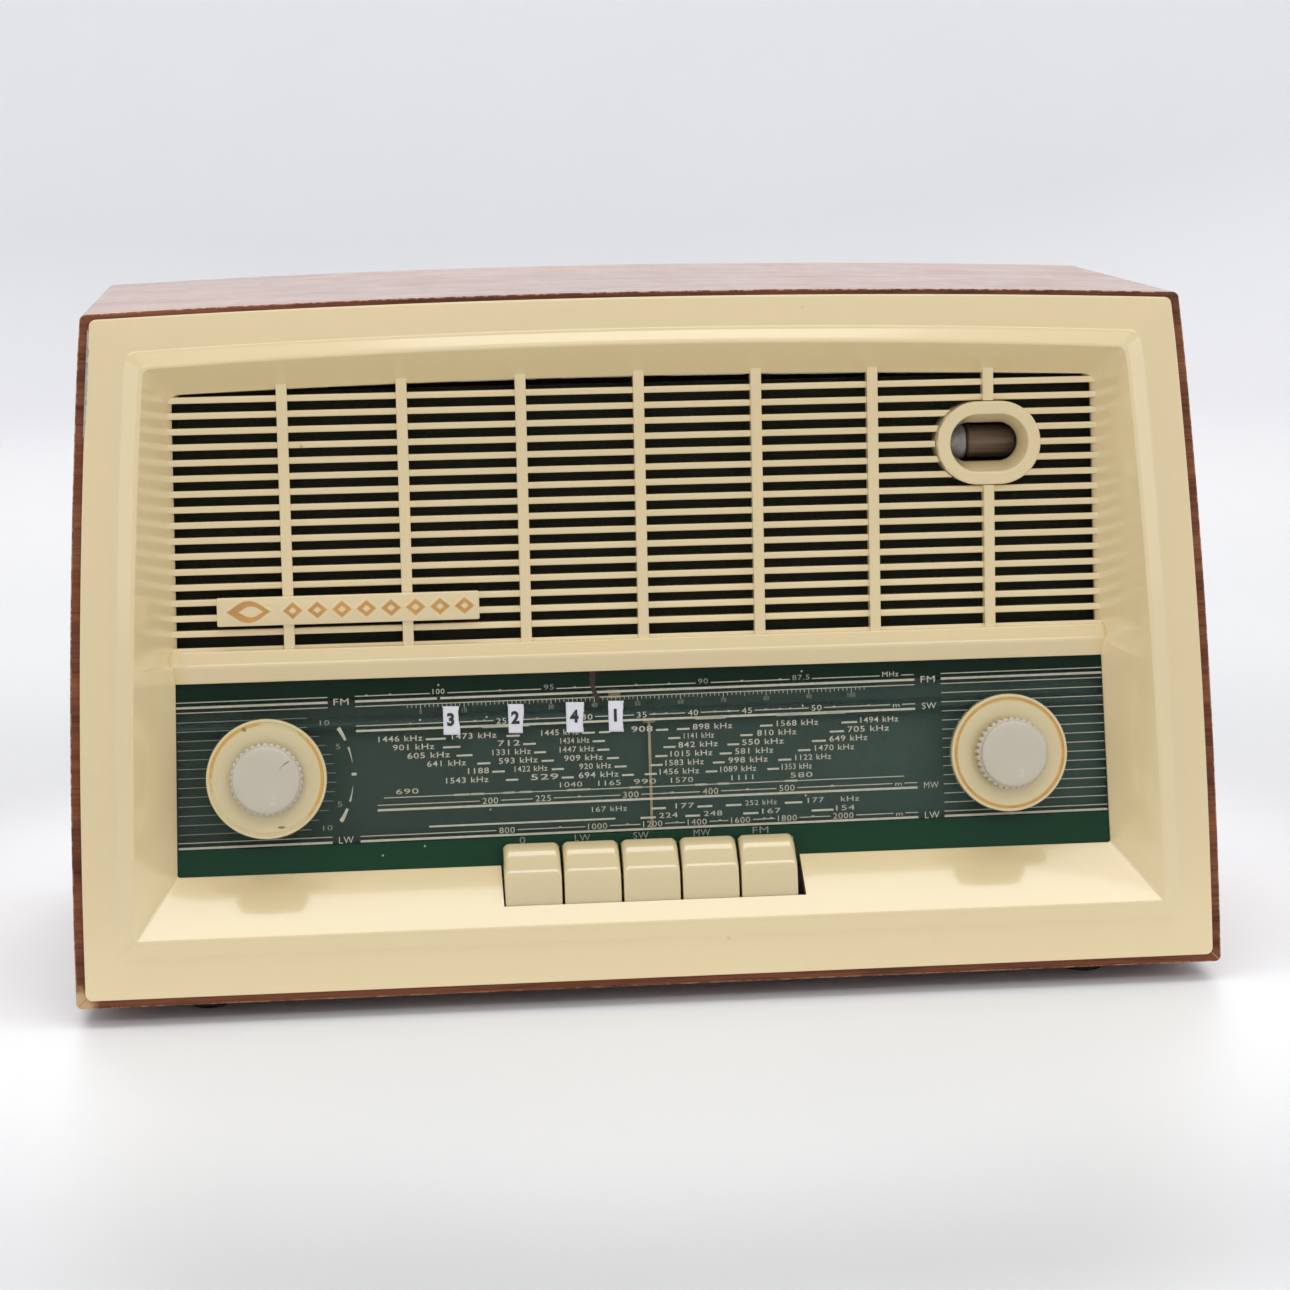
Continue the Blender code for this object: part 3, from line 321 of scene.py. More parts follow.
def cream_plastic(name, colour, speckle=True, gloss=0.2, grime=0.5, painted_recess_light=None, blur=0.045):
    """Glossy moulded plastic: even, with dirt in its corners and a few specks.

    Where a recess colour is given, recesses and occluded places take that lighter colour: painted light that
    lifts their shade.
    """
    m = Nodes(name)
    tint = m.ramp(m.noise(6.0, 2.0), (0.3, shade(colour, 0.985)), (0.7, shade(colour, 1.015)))
    # painted light: places deep behind the face and occluded places are lifted towards the lighter recess
    # colour
    if painted_recess_light:
        depth = m.vector_math("DOT_PRODUCT", m.coords, (0.0, math.cos(LEAN), -math.sin(LEAN)))
        foot = (FRONT_Y * math.cos(LEAN) - FOOT_HEIGHT * math.sin(LEAN)) * MM
        inside = m.ramp(m.math("SUBTRACT", depth, foot), (0.019, 0.0), (0.026, 1.0))
        occlusion_lift = m.ramp(m.occlusion(0.11), (0.5, 1.0), (0.88, 0.0))
        tint = m.mix(m.math("MAXIMUM", inside, occlusion_lift), tint, painted_recess_light)
    corner = m.ramp(m.occlusion(0.005), (0.2, 1.0), (0.62, 0.0))
    patchy = m.ramp(m.noise(60.0, 4.0, 0.6), (0.35, 0.3), (0.7, 1.0))
    tint = m.mix(m.product(corner, patchy, grime), tint, DIRT)
    if speckle:
        cells = m.node("TexVoronoi", "Distance", {"Vector": m.coords, "Scale": 42.0}, feature="F1")
        dots = m.ramp(cells, (0.022, 1.0), (0.045, 0.0))
        few = m.ramp(m.noise(11.0, 1.0), (0.60, 0.0), (0.66, 1.0))
        tint = m.mix(m.product(dots, few, 0.55), tint, FLECK)
    worn = m.ramp(m.noise(90.0, 4.0, 0.6), (0.3, gloss - 0.02), (0.75, gloss + 0.03))
    soft = m.bump(m.noise(24.0, 1.0), 0.08, 0.0003)
    m.set(Base_Color=tint, Roughness=worn, Normal=m.bump(m.noise(1100.0, 1.0), 0.02, 0.0001, soft))
    m.set(Coat_Weight=0.9, Coat_Roughness=blur, Coat_Normal=soft)
    return m.material


def veneer(name, along, tones, gloss, coat=0.0, worn=0.0, shine=0.5):
    """Straight-grained lacquered wood: dark, middle and light tones, along the axis of its grain."""
    m = Nodes(name)
    flow = m.scaled(tuple(0.03 if letter == along else 1.0 for letter in "XYZ"))
    fine = m.noise(900.0, 5.0, 0.75, flow)
    base = m.ramp(m.noise(90.0, 4.0, 0.6, flow, 0.3), *zip((0.3, 0.5, 0.72), tones))
    pores = m.ramp(fine, (0.36, 0.45), (0.5, 1.0), (0.7, 1.12))
    cloudy = m.ramp(m.noise(9.0, 2.0), (0.3, 0.88), (0.7, 1.08))
    tint = m.mix(1.0, m.mix(1.0, base, pores, "MULTIPLY"), cloudy, "MULTIPLY")
    if worn:
        rubbed = m.ramp(m.noise(300.0, 5.0, 0.7), (0.47, 0.0), (0.56, 1.0))
        tint = m.mix(m.math("MULTIPLY", rubbed, worn), tint, RUBBED_WOOD)
    # the lower left corner is chipped to bare wood
    reach = m.vector_math("LENGTH", m.vector_math("SUBTRACT", m.coords, CHIP_AT))
    ragged = m.math("ADD", reach, m.math("MULTIPLY", m.noise(420.0, 3.0), 0.006))
    tint = m.mix(m.ramp(ragged, (0.0085, 1.0), (0.0097, 0.0)), tint, BARE_WOOD)
    wear = m.ramp(m.noise(30.0, 5.0, 0.7), (0.35, gloss - 0.05), (0.75, gloss + 0.15))
    normal = m.bump(fine, 0.45, 0.00025)
    m.set(Base_Color=tint, Roughness=wear, Normal=normal, Specular_IOR_Level=shine)
    m.set(Coat_Weight=coat, Coat_Roughness=0.2, Coat_Normal=normal)
    return m.material


def plain(name, colour, rough, vary=0.12, scale=60.0, bump=0.1, depth=0.0002, metal=0.0, **more):
    """A material whose colour, gloss and surface vary a little."""
    m = Nodes(name)
    tones = shade(colour, 1 - vary), shade(colour, 1 + vary)
    tint = m.ramp(m.noise(scale, 4.0, 0.6), *zip((0.3, 0.7), tones))
    worn = m.ramp(m.noise(scale * 2.3), (0.3, max(0.02, rough - 0.07)), (0.7, rough + 0.09))
    normal = m.bump(m.noise(scale * 6.0), bump, depth)
    m.set(Base_Color=tint, Metallic=metal, Roughness=worn, Normal=normal, **more)
    return m.material


def cloth_material():
    m = Nodes("grille_weave")
    inputs = {"Vector": m.coords, "Scale": 420.0, "Distortion": 0.6}
    threads = [m.node("TexWave", "Fac", inputs, wave_type="BANDS", bands_direction=way) for way in "XZ"]
    weave = m.math("MULTIPLY", *threads)
    tint = m.mix(m.noise(20.0), (0.006, 0.007, 0.004), (0.016, 0.019, 0.010))
    tint = m.mix(weave, tint, (0.022, 0.024, 0.013))
    m.set(Base_Color=tint, Roughness=0.95, Normal=m.bump(weave, 0.6, 0.0002))
    return m.material


def plate_material():
    """The green plate behind the scales, a little lighter towards the right: a painted reflection of the
    brighter surroundings on that side.
    """
    m = Nodes("dial_plate_green")
    # painted reflection: the green grows lighter towards the right
    side = m.spread(m.axis("X"), -0.15, 0.16)
    tint = m.mix(side, (0.040, 0.074, 0.050), (0.060, 0.108, 0.084))
    tint = m.mix(1.0, tint, m.ramp(m.noise(7.0), (0.3, 0.93), (0.7, 1.07)), "MULTIPLY")
    m.set(Base_Color=tint, Roughness=m.ramp(m.noise(30.0), (0.3, 0.55), (0.7, 0.65)))
    return m.material


def glass_material():
    """Dial glass: clear over the scales, painted green behind its top and bottom strips, the green darker
    towards the top as painted shade.
    """
    m = Nodes("dial_glass_green")
    height = m.vector_math("DOT_PRODUCT", m.coords, (0.0, math.sin(LEAN), math.cos(LEAN)))
    foot = FACE.translation * MM
    height = m.math("SUBTRACT", height, foot.y * math.sin(LEAN) + foot.z * math.cos(LEAN))
    level = m.math("ADD", height, m.math("MULTIPLY", m.axis("X"), -PRINT_TILT))
    clear = m.math("MULTIPLY", m.spread(level, 0.0632, 0.0640), m.spread(level, 0.1250, 0.1242))
    # painted shade: the strips' green is darker towards the top, under the rail
    paint = m.mix(m.spread(height, 0.05, 0.135), (0.009, 0.043, 0.020), (0.0016, 0.011, 0.005))
    tint = m.mix(clear, paint, (0.012, 0.022, 0.018))
    # a green line painted over the slot that the AM pointer's tab runs in, its dull green copying the shaded
    # plate behind the glass: painted shade
    beside = m.math("ABSOLUTE", m.math("SUBTRACT", height, POINTER_SLOT * MM))
    line = m.ramp(beside, (0.0012, 1.0), (0.0015, 0.0))
    tint = m.mix(line, tint, (0.034, 0.055, 0.045))
    alpha = m.math("MAXIMUM", m.spread(clear, 0.0, 1.0, 1.0, 0.16), line)
    rough = m.ramp(m.noise(30.0, 4.0), (0.3, 0.05), (0.8, 0.1))
    m.set(Base_Color=tint, Alpha=alpha, Roughness=rough, Specular_IOR_Level=0.12)
    return m.material


def tube_glass():
    m = Nodes("indicator_glass")
    m.set(Base_Color=(0.035, 0.022, 0.014), Roughness=0.1, Alpha=0.3)
    m.set(Normal=m.bump(m.noise(30.0, 1.0), 0.1, 0.0004))
    return m.material


def target_metal():
    m = Nodes("indicator_target_coating")
    streak = m.noise(900.0, 3.0, 0.6, m.scaled((0.02, 1.0, 1.0)))
    tint = m.ramp(streak, (0.3, (0.17, 0.105, 0.058)), (0.7, (0.34, 0.24, 0.15)))
    m.set(Base_Color=tint, Roughness=0.5)
    return m.material


def worn_amber():
    """Amber paint that has rubbed off along part of its ring."""
    m = Nodes("worn_amber_paint")
    angle = m.math("ARCTAN2", m.axis("Y"), m.axis("X"))
    arcs = [m.math("COSINE", m.math("SUBTRACT", angle, middle)) for middle in WORN_ARCS]
    ragged = m.math("ADD", m.math("MAXIMUM", *arcs), m.math("MULTIPLY", m.noise(500.0), 0.7))
    kept = m.ramp(m.math("SUBTRACT", ragged, 0.35), (0.62, 0.0), (0.78, 1.0))
    m.set(Base_Color=m.mix(kept, RING_COLOUR, (0.60, 0.34, 0.06)), Roughness=0.4)
    return m.material


DIRT, FLECK = (0.36, 0.24, 0.11), (0.26, 0.16, 0.07)
RUBBED_WOOD, BARE_WOOD = (0.46, 0.27, 0.15), (0.50, 0.33, 0.17)
CHIP_AT = ((-half_width(0.0) + 1.0) * MM, (FRONT_Y + 1.0) * MM, (FOOT_HEIGHT + 1.0) * MM)
PRINT_TILT = 0.0058
POINTER_SLOT = 113.5
RING_COLOUR = (0.585, 0.485, 0.262)
WORN_ARCS = (0.15, 2.4)  # the middles of the two painted stretches, in radians
VENEER = ((0.125, 0.034, 0.014), (0.23, 0.07, 0.029), (0.34, 0.125, 0.055))
EDGE_TONES = ((0.085, 0.022, 0.009), (0.15, 0.044, 0.018), (0.23, 0.08, 0.035))
WORN_TONES = ((0.09, 0.026, 0.011), (0.16, 0.05, 0.02), (0.25, 0.09, 0.04))
INSIDE_TONES = ((0.30, 0.19, 0.10), (0.36, 0.24, 0.13), (0.42, 0.29, 0.17))

# the second colour is painted light, lifting the shade in the moulding's recesses
CREAM = cream_plastic("cream_moulding", (0.61, 0.492, 0.272), painted_recess_light=(0.80, 0.655, 0.38), blur=0.07)
KEY_CREAM = cream_plastic("key_plastic", (0.575, 0.47, 0.262), speckle=False, gloss=0.17, grime=0.8)
RING_CREAM = cream_plastic("ring_plastic", RING_COLOUR, gloss=0.22)
WOOD_TOP = veneer("veneer_top", "X", VENEER, 0.36, 0.45)
WOOD_SIDE = veneer("veneer_side", "Z", VENEER, 0.45, shine=0.2)
WOOD_EDGE = veneer("edge_wood", "X", EDGE_TONES, 0.45, shine=0.2)
WOOD_WORN = veneer("worn_edge", "X", WORN_TONES, 0.45, worn=0.8, shine=0.25)
WOOD_INSIDE = veneer("inner_wood", "X", INSIDE_TONES, 0.7)
CAP = plain("cap_plastic", (0.45, 0.405, 0.32), 0.2, 0.02, 30.0, 0.03, Coat_Weight=0.3, Coat_Roughness=0.08)
AMBER = plain("amber_paint", (0.56, 0.31, 0.07), 0.35, scale=180.0)
BADGE_AMBER = plain("badge_amber", (0.47, 0.235, 0.055), 0.35, scale=180.0)
RUBBER = plain("black_rubber", (0.022, 0.02, 0.018), 0.6, 0.3, bump=0.2)
STEEL = plain("plated_steel", (0.55, 0.54, 0.50), 0.35, 0.15, 90.0, metal=1.0)
IRON = plain("varnished_iron", (0.10, 0.095, 0.09), 0.45, 0.3, 120.0, 0.3, metal=0.5)
PAPER = plain("cone_paper", (0.06, 0.052, 0.045), 0.9, 0.2, 200.0, 0.4)
NYLON = plain("nylon", (0.62, 0.60, 0.52), 0.45, 0.06)
GREEN_CORD = plain("waxed_cord", (0.045, 0.075, 0.055), 0.75, 0.2, 800.0, 0.6)
HARDBOARD = plain("hardboard", (0.17, 0.095, 0.05), 0.7, 0.3, 260.0, 0.5, 0.0004)
# painted shade: the baffle board is near-black so the space seen behind the grille bars stays dark
BAFFLE = plain("baffle_painted_shade", (0.013, 0.014, 0.010), 0.85, 0.3, 260.0, 0.5)
PRINT = plain("dial_print", (0.40, 0.38, 0.29), 0.5, 0.14, 400.0)
PRINT_DIM = plain("dial_print_dim", (0.20, 0.20, 0.155), 0.5, 0.14, 400.0)
LABEL = plain("label_paper", (0.60, 0.60, 0.63), 0.8, 0.05, 120.0, 0.3)
INK = plain("label_ink", (0.012, 0.012, 0.014), 0.6, 0.2)
DRIP = plain("brown_drip", (0.028, 0.011, 0.006), 0.35, 0.5, 900.0, 0.8, 0.0006)
SPECK = plain("old_dirt", (0.24, 0.16, 0.10), 0.7, 0.4, 700.0, 0.5)
RESIDUE = plain("old_filler", (0.33, 0.32, 0.29), 0.8, 0.35, 500.0, 0.6)
MICA = plain("mica", (0.52, 0.50, 0.46), 0.25, 0.25, 300.0)
VALVE_GLASS = plain("valve_glass", (0.10, 0.09, 0.08), 0.08, 0.4, 25.0, 0.0, Coat_Weight=0.5)
GLASS, CLOTH, PLATE = glass_material(), cloth_material(), plate_material()
TUBE_GLASS, TARGET, WORN_AMBER = tube_glass(), target_metal(), worn_amber()

# ---- the cabinet's outline

SIDE_HEIGHTS = (62.0, 74.0, 90.0, 102.0, 115.0, 128.0, 138.5, 142.0, 156.0, 170.0, 185.0, 200.0, 215.0, 230.0)
TOP_STEPS, CORNER_STEPS, BOTTOM_STEPS = 48, 10, 16
END_STEPS = 3


def top_height(x):
    return FACE_HEIGHT + CROWN * (1 - (x / HALF_WIDTH_TOP) ** 2)


def outline(side, top, bottom, radius, taper=None, head=None, sag=0.0):
    """Anticlockwise from the bottom middle: the cabinet's outline, inset by side, top and bottom.

    head is the radius of the upper corners, and sag lowers the top edge towards its ends.
    """
    head = radius if head is None else head

    def edge(height):
        if taper:
            return taper(height)
        return half_width(height) - (side(height) if callable(side) else side)

    def crest(x):
        return top_height(x) - top - sag * x * x

    def side_points(start, end):
        heights = [start + (end - start) * k / (END_STEPS + 1) for k in range(1, END_STEPS + 1)]
        return [(edge(z), z) for z in heights]

    low_x = edge(bottom) - radius
    high_x = edge(crest(half_width(FACE_HEIGHT) - 10.0)) - head
    high_z = crest(high_x) - head
    right = [(low_x * k / BOTTOM_STEPS, bottom) for k in range(BOTTOM_STEPS)]
    right += arc((low_x, bottom + radius), radius, -90, 0, CORNER_STEPS)
    right += side_points(bottom + radius, SIDE_HEIGHTS[0])
    right += [(edge(z), z) for z in SIDE_HEIGHTS]
    right += side_points(SIDE_HEIGHTS[-1], high_z)
    right += arc((high_x, high_z), head, 0, 90, CORNER_STEPS)
    crown = [high_x * (1 - 2 * k / TOP_STEPS) for k in range(1, TOP_STEPS // 2)]
    right += [(x, crest(x)) for x in crown]
    left = [(-x, z) for x, z in reversed(right[1:])]
    return right + [(0.0, crest(0.0))] + left


RIGHT_FOOT = BOTTOM_STEPS + CORNER_STEPS // 2
SIDE_COUNT = len(SIDE_HEIGHTS) + 2 * END_STEPS
RIGHT_HEAD = BOTTOM_STEPS + CORNER_STEPS + 1 + SIDE_COUNT + CORNER_STEPS // 2


def lean_y(z):
    return FRONT_Y + (z - FOOT_HEIGHT) * math.tan(LEAN)


def make_boards():
    outer, inner = outline(0, 0, 0, BOARD_CORNER), outline(BOARD, BOARD, BOARD, 1.0)
    eased = outline(EDGE_ROUND, EDGE_ROUND, EDGE_ROUND, BOARD_CORNER - 1.0)
    count = len(outer)

    def point(at, behind):
        """behind is the distance behind the board's front edge, or None at its back edge."""
        z = FOOT_HEIGHT + at[1] * math.cos(LEAN)
        return Vector((at[0], BACK_Y if behind is None else lean_y(z) + behind, z))

    def section(k):
        back_outer, front_outer = point(outer[k], None), point(outer[k], EDGE_ROUND)
        front_eased, front_inner = point(eased[k], 0.0), point(inner[k], 0.0)
        back_inner = point(inner[k], None)
        corner = Vector((front_outer.x, front_eased.y, front_outer.z))
        points = [back_outer.lerp(front_outer, t) for t in (0.003, 0.5, 0.9, 0.97)]
        points += quarter(front_outer, corner, front_eased, 6)
        points += [front_eased.lerp(front_inner, 0.5), front_inner, back_inner]
        return points + [back_inner.lerp(back_outer, 0.1), back_outer.lerp(back_inner, 0.1)]

    def slot_of(face, per):
        """0 face of the board, 1 its front edge and ends, 2 inside, 3 the worn rounding."""
        if len(face) > 4:
            return 1
        row = min(i % per for i in face) if abs(face[1] % per - face[0] % per) == 1 else per - 1
        return 0 if row < 4 else 3 if row < 10 else 1 if row < 12 else 2

    left_head, left_foot = count - RIGHT_HEAD, count - RIGHT_FOOT
    for part, first, last, wood in (
        ("side_right", RIGHT_FOOT, RIGHT_HEAD, WOOD_SIDE),
        ("top", RIGHT_HEAD, left_head, WOOD_TOP),
        ("side_left", left_head, left_foot, WOOD_SIDE),
        ("bottom", left_foot, count + RIGHT_FOOT, WOOD_TOP),
    ):
        sections = [section(k % count) for k in range(first, last + 1)]
        for end, nearby in ((0, 1), (-1, -2)):
            pairs = zip(sections[end], sections[nearby])
            sections[end] = [a + (b - a).normalized() * JOINT_GAP for a, b in pairs]
        shape = skin(sections)
        indices = [slot_of(face, len(sections[0])) for face in shape[1]]
        woods = (wood, WOOD_EDGE, WOOD_INSIDE, WOOD_WORN)
        node = "cabinet_" + part
        piece("veneered_" + part, shape, WORLD, woods, 40, node, indices=indices)


make_boards()


# ---- front moulding


def grille_depth(height):
    """Depth of the grille's front plane behind the face plane, at a height along the lean."""
    offset = Vector((0, GRILLE_AT[1] - FRONT_Y, GRILLE_AT[2] - FOOT_HEIGHT))
    offset.rotate(Matrix.Rotation(LEAN, 3, "X"))
    return offset.y - (height - offset.z) * math.tan(LEAN - GRILLE_LEAN)


def opening_half(height):
    return OPENING_HALF_FOOT - OPENING_TAPER * height


def grille_spread(height):
    """How much further out the side walls stand at the grille than beside the dial."""
    return SPREAD + SPREAD_GAIN * (height - SPREAD_FROM)


def opening_depth(height, behind_grille, behind_lip):
    if height < RAIL_MIDDLE + 1:
        return DIAL_LIP_Y + behind_lip
    return grille_depth(height) + behind_grille


def frame_sections():
    """Cross-sections of the moulding's frame, one for each point of the outline."""
    top_inset = FACE_HEIGHT + CROWN - OPENING_TOP

    def opening(grow, behind_grille, behind_lip, lip=0.0):
        def half(z):
            return opening_half(z) + grow + (grille_spread(z) - lip if z > RAIL_MIDDLE + 1 else 0.0)

        loop = outline(0, top_inset - grow, DIAL_BOTTOM - grow, 1.2, taper=half, head=5.0)
        return [(x, opening_depth(z, behind_grille, behind_lip), z) for x, z in loop]

    def at(y, points):
        return [(x, y, z) for x, z in points]

    def edge(y):
        return at(y, outline(FLANGE_INSET, 2.4, 3.4, 3.0))

    def fold(y):
        return at(y, outline(18.6, 15.9, 20.4, 2.0, None, 6.0, 2.6e-5))

    def ridge(y, inset, radius):
        """A loop on the ridge, which draws in a little towards the top."""
        def side(z):
            return RIDGE_INSET + RIDGE_LEAN * z + inset

        return at(y, outline(side, 21.9 + inset, 26.9 + inset, radius, None, 3.5, 4.4e-5))

    behind = RIDGE_Y + WALL + 0.6
    rows = [
        (edge(FLANGE_BACK), 0.0), (edge(FLANGE_FRONT), 1.1), (fold(FLANGE_FRONT), 1.2),
        (ridge(RIDGE_Y, -0.7, 1.6), 0.6), (ridge(RIDGE_Y, 0.7, 1.4), 0.5),
        (opening(0.0, 0.0, 0.0), 0.5), (opening(0.0, 0.9, 0.5, 0.5), 0.3), (opening(0.0, 2.8, 1.0, 1.7), 0.2),
        (opening(0.0, 5.0, 1.2, 1.7), 0.0), (opening(WALL, 5.0, 1.2), 0.0),
        (ridge(behind, 0.7 - WALL, 2.0), 0.0), (ridge(behind, -0.7 - WALL, 2.5), 0.0), (fold(FLANGE_BACK), 0.0),
    ]
    radii = [radius for _, radius in rows]
    return [rounded([row[k] for row, _ in rows], radii, 4) for k in range(len(rows[0][0]))]


def rail_sections():
    back = grille_depth(RAIL_TOP) + 6.0
    profile = [
        (DIAL_LIP_Y + 1.2, DIAL_TOP, 0.0),
        (DIAL_LIP_Y - 1.0, DIAL_TOP, 0.5),
        (RAIL_RIDGE_Y, RAIL_MIDDLE, 1.2),
        (DIAL_LIP_Y - 0.8, RAIL_TOP, 0.6),
        (grille_depth(RAIL_TOP) - 1.2, RAIL_TOP + 0.4, 0.5),
        (grille_depth(RAIL_TOP) - 0.7, RAIL_TOP + RAIL_LIP, 0.3),
        (back, RAIL_TOP + RAIL_LIP, 0.0),
        (back, RAIL_TOP - 2.0, 0.0),
        (DIAL_LIP_Y + 1.2, RAIL_TOP - 4.5, 0.0),
    ]
    loop = rounded([(y, z, 0) for y, z, _ in profile], [r for _, _, r in profile], 4)
    half = opening_half(RAIL_MIDDLE)
    stations = [(half - 7.0 + 1.1 * k, 4.5 * (k / 10) ** 2.2) for k in range(11)]
    stations = [(-x, sink) for x, sink in reversed(stations)] + stations

    def sunk(p, sink):
        return p[0] + (sink if p[0] < DIAL_LIP_Y + 2 else 0.0)

    return [[(x, sunk(p, sink), p[1]) for p in loop] for x, sink in stations]


def grille_top(x):
    """Height of the grille opening's top edge at x, in the grille frame."""
    edge = Vector((x, 0, OPENING_TOP - OPENING_SAG * x * x))
    edge.y = grille_depth(edge.z)
    return (GRILLE.inverted() @ (FACE @ edge)).z


def make_front_moulding():
    parts = [skin(frame_sections(), closed=True), skin(rail_sections())]
    to_face = TO_FACE @ GRILLE

    def in_face(sections):
        verts, faces = skin(sections)
        return [tuple(to_face @ Vector(p)) for p in verts], faces

    for k in range(SLAT_COUNT):
        z = ((SLAT_COUNT - 1) / 2 - k) * SLAT_PITCH
        height = GRILLE_AT[2] - FOOT_HEIGHT + z
        reach = opening_half(height) + grille_spread(height) + 0.4
        low, high = z - SLAT_HEIGHT / 2, z + SLAT_HEIGHT / 2
        loop = [(SLAT_FRONT, low, 0), (SLAT_BACK, low, 0), (SLAT_BACK, high, 0), (SLAT_FRONT, high, 0)]
        loop = rounded(loop, [SLAT_ROUND, 0.0, 0.0, SLAT_ROUND])
        parts.append(in_face([[(x, p[0], p[1]) for p in loop] for x in (-reach, reach)]))
    for k in range(POST_COUNT):
        x = (k - (POST_COUNT - 1) / 2) * POST_PITCH
        left, right = x - POST_WIDTH / 2, x + POST_WIDTH / 2
        plan = [(left, -POST_PROUD, 0), (right, -POST_PROUD, 0), (right, POST_BACK, 0), (left, POST_BACK, 0)]
        plan = rounded(plan, [POST_ROUND, POST_ROUND, 0.0, 0.0])
        parts.append(in_face([[(p[0], p[1], z) for p in plan] for z in (POST_FOOT, grille_top(x) + 2.6)]))
    moulding = new_object("front_moulding_shell", merged(parts), FACE, (CREAM,), 30)
    window = stadium(BEZEL_WIDTH + 0.6, BEZEL_HEIGHT + 0.6)
    window = [[(INDICATOR_X + x, y, INDICATOR_Z + z) for x, z in window] for y in (-20.0, 20.0)]
    slot = box_points(SLOT_LEFT, SLOT_RIGHT, 2.0, 40.0, 12.0, DIAL_BOTTOM + 1.0)
    cutters = [new_object("cutter", skin(window), GRILLE), new_object("cutter", skin(slot), FACE)]
    for cutter in cutters:
        cut = moulding.modifiers.new("cut", "BOOLEAN")
        cut.operation, cut.solver, cut.object = "DIFFERENCE", "EXACT", cutter
        cut.use_self = True
    graph = bpy.context.evaluated_depsgraph_get()
    settled = bpy.data.meshes.new_from_object(moulding.evaluated_get(graph))
    moulding.modifiers.clear()
    moulding.data = settled
    settled.set_sharp_from_angle(angle=math.radians(30))
    for cutter in cutters:
        bpy.data.objects.remove(cutter, do_unlink=True)
    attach(moulding, "cabinet")
    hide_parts("front_moulding")


make_front_moulding()


# ---- badge, indicator, cloth


def make_badge():
    """A plate with a plain ornament in amber on cream: a lens, then a row of hollow lozenges."""
    x0, x1, z0, z1 = BADGE_BOX
    back, front = -POST_PROUD - 0.3, -6.3
    edge = rounded([(x0, z0, 0), (x1, z0, 0), (x1, z1, 0), (x0, z1, 0)], 0.8)
    middle = Vector(((x0 + x1) / 2, (z0 + z1) / 2, 0))

    def ring(y, inset):
        offsets = [Vector(p) - middle for p in edge]
        return [
            (middle.x + v.x - math.copysign(inset, v.x), y, middle.y + v.y - math.copysign(inset, v.y))
            for v in offsets
        ]

    plate = skin([ring(back, 0.0), ring(front + 0.7, 0.0), ring(front + 0.2, 0.15), ring(front, 0.55)])
    piece("badge_plate_body", plate, GRILLE, (CREAM,), 40, "badge_plate")
    amber, raised = [], []

    def slab(parts, points, low, high):
        parts.append(skin([[(p[0], front - out, p[1]) for p in points] for out in (low, high)]))

    def lozenge(x, wide, tall):
        return [(x - wide, middle.y), (x, middle.y - tall), (x + wide, middle.y), (x, middle.y + tall)]

    def lens(x, reach, bow):
        turns = np.linspace(0, 2 * math.pi, 41)[:-1]
        return [(x + reach * math.cos(a), middle.y + bow * math.sin(a) ** 3) for a in turns]

    slab(raised, lens(x0 + 13.2, 10.4, 5.3), 0.0, 0.3)
    slab(amber, lens(x0 + 13.2, 9.5, 4.6), 0.02, 0.36)
    slab(raised, lens(x0 + 14.2, 5.4, 2.3), 0.02, 0.42)
    for k in range(8):
        x = x0 + 31.6 + k * 10.3
        slab(raised, lozenge(x, 5.0, 4.3), 0.0, 0.3)
        slab(amber, lozenge(x, 4.1, 3.5), 0.02, 0.36)
        slab(raised, lozenge(x, 1.7, 1.45), 0.02, 0.42)
    piece("badge_ornament_core", merged(raised), GRILLE, (CREAM,), 30)
    piece("badge_ornament", merged(amber), GRILLE, (BADGE_AMBER,), 30)


def make_indicator():
    """The bezel of the tuning indicator and the tube that lies across behind it."""
    rows = (
        (BEZEL_WIDTH, BEZEL_HEIGHT, 10.0, 0.0), (BEZEL_WIDTH, BEZEL_HEIGHT, -4.6, 1.1),
        (34.0, 24.8, -4.6, 0.8), (30.2, 17.2, 7.5, 0.4), (30.0, 16.5, 10.0, 0.0),
    )
    loops = [[(x, y, z) for x, z in stadium(w, h, 24)] for w, h, y, _ in rows]
    radii = [r for *_, r in rows]
    bezel = skin([rounded([loop[k] for loop in loops], radii, 5) for k in range(len(loops[0]))], closed=True)
    place = GRILLE @ Matrix.Translation((INDICATOR_X, 0, INDICATOR_Z))
    piece("indicator_bezel_ring", bezel, place, (CREAM,), 35, "indicator_bezel")
    place = GRILLE @ Matrix.Translation((INDICATOR_X, TUBE_Y, INDICATOR_Z))
    place = place @ Matrix.Rotation(RIGHT_ANGLE, 4, "Y")
    envelope = (
        (0.01, -21.0), (3.0, -21.0), (6.2, -20.6), (8.2, -19.6), (9.3, -17.8), (9.5, -16.0), (9.5, 17.0),
        (9.3, 18.4), (8.6, 19.4), (7.0, 20.0), (0.01, 20.2),
    )
    target = ((0.01, -5.4), (6.6, -5.4), (7.3, -4.7), (7.3, 13.2), (5.6, 15.4), (0.01, 16.4))
    mica = ((0.01, -14.5), (6.8, -14.5), (7.7, -13.6), (7.9, -8.0), (7.2, -6.6), (5.6, -6.0), (0.01, -6.0))
    for name, profile, segments, material, smooth, node in (
        ("indicator_tube_glass", envelope, 48, TUBE_GLASS, 50, "indicator_tube"),
        ("indicator_target", target, 40, TARGET, 40, None),
        ("indicator_mica", mica, 40, MICA, 30, None),
    ):
        shape = skin(turned_points(profile, segments))
        piece(name, shape, place, (material,), smooth, node)


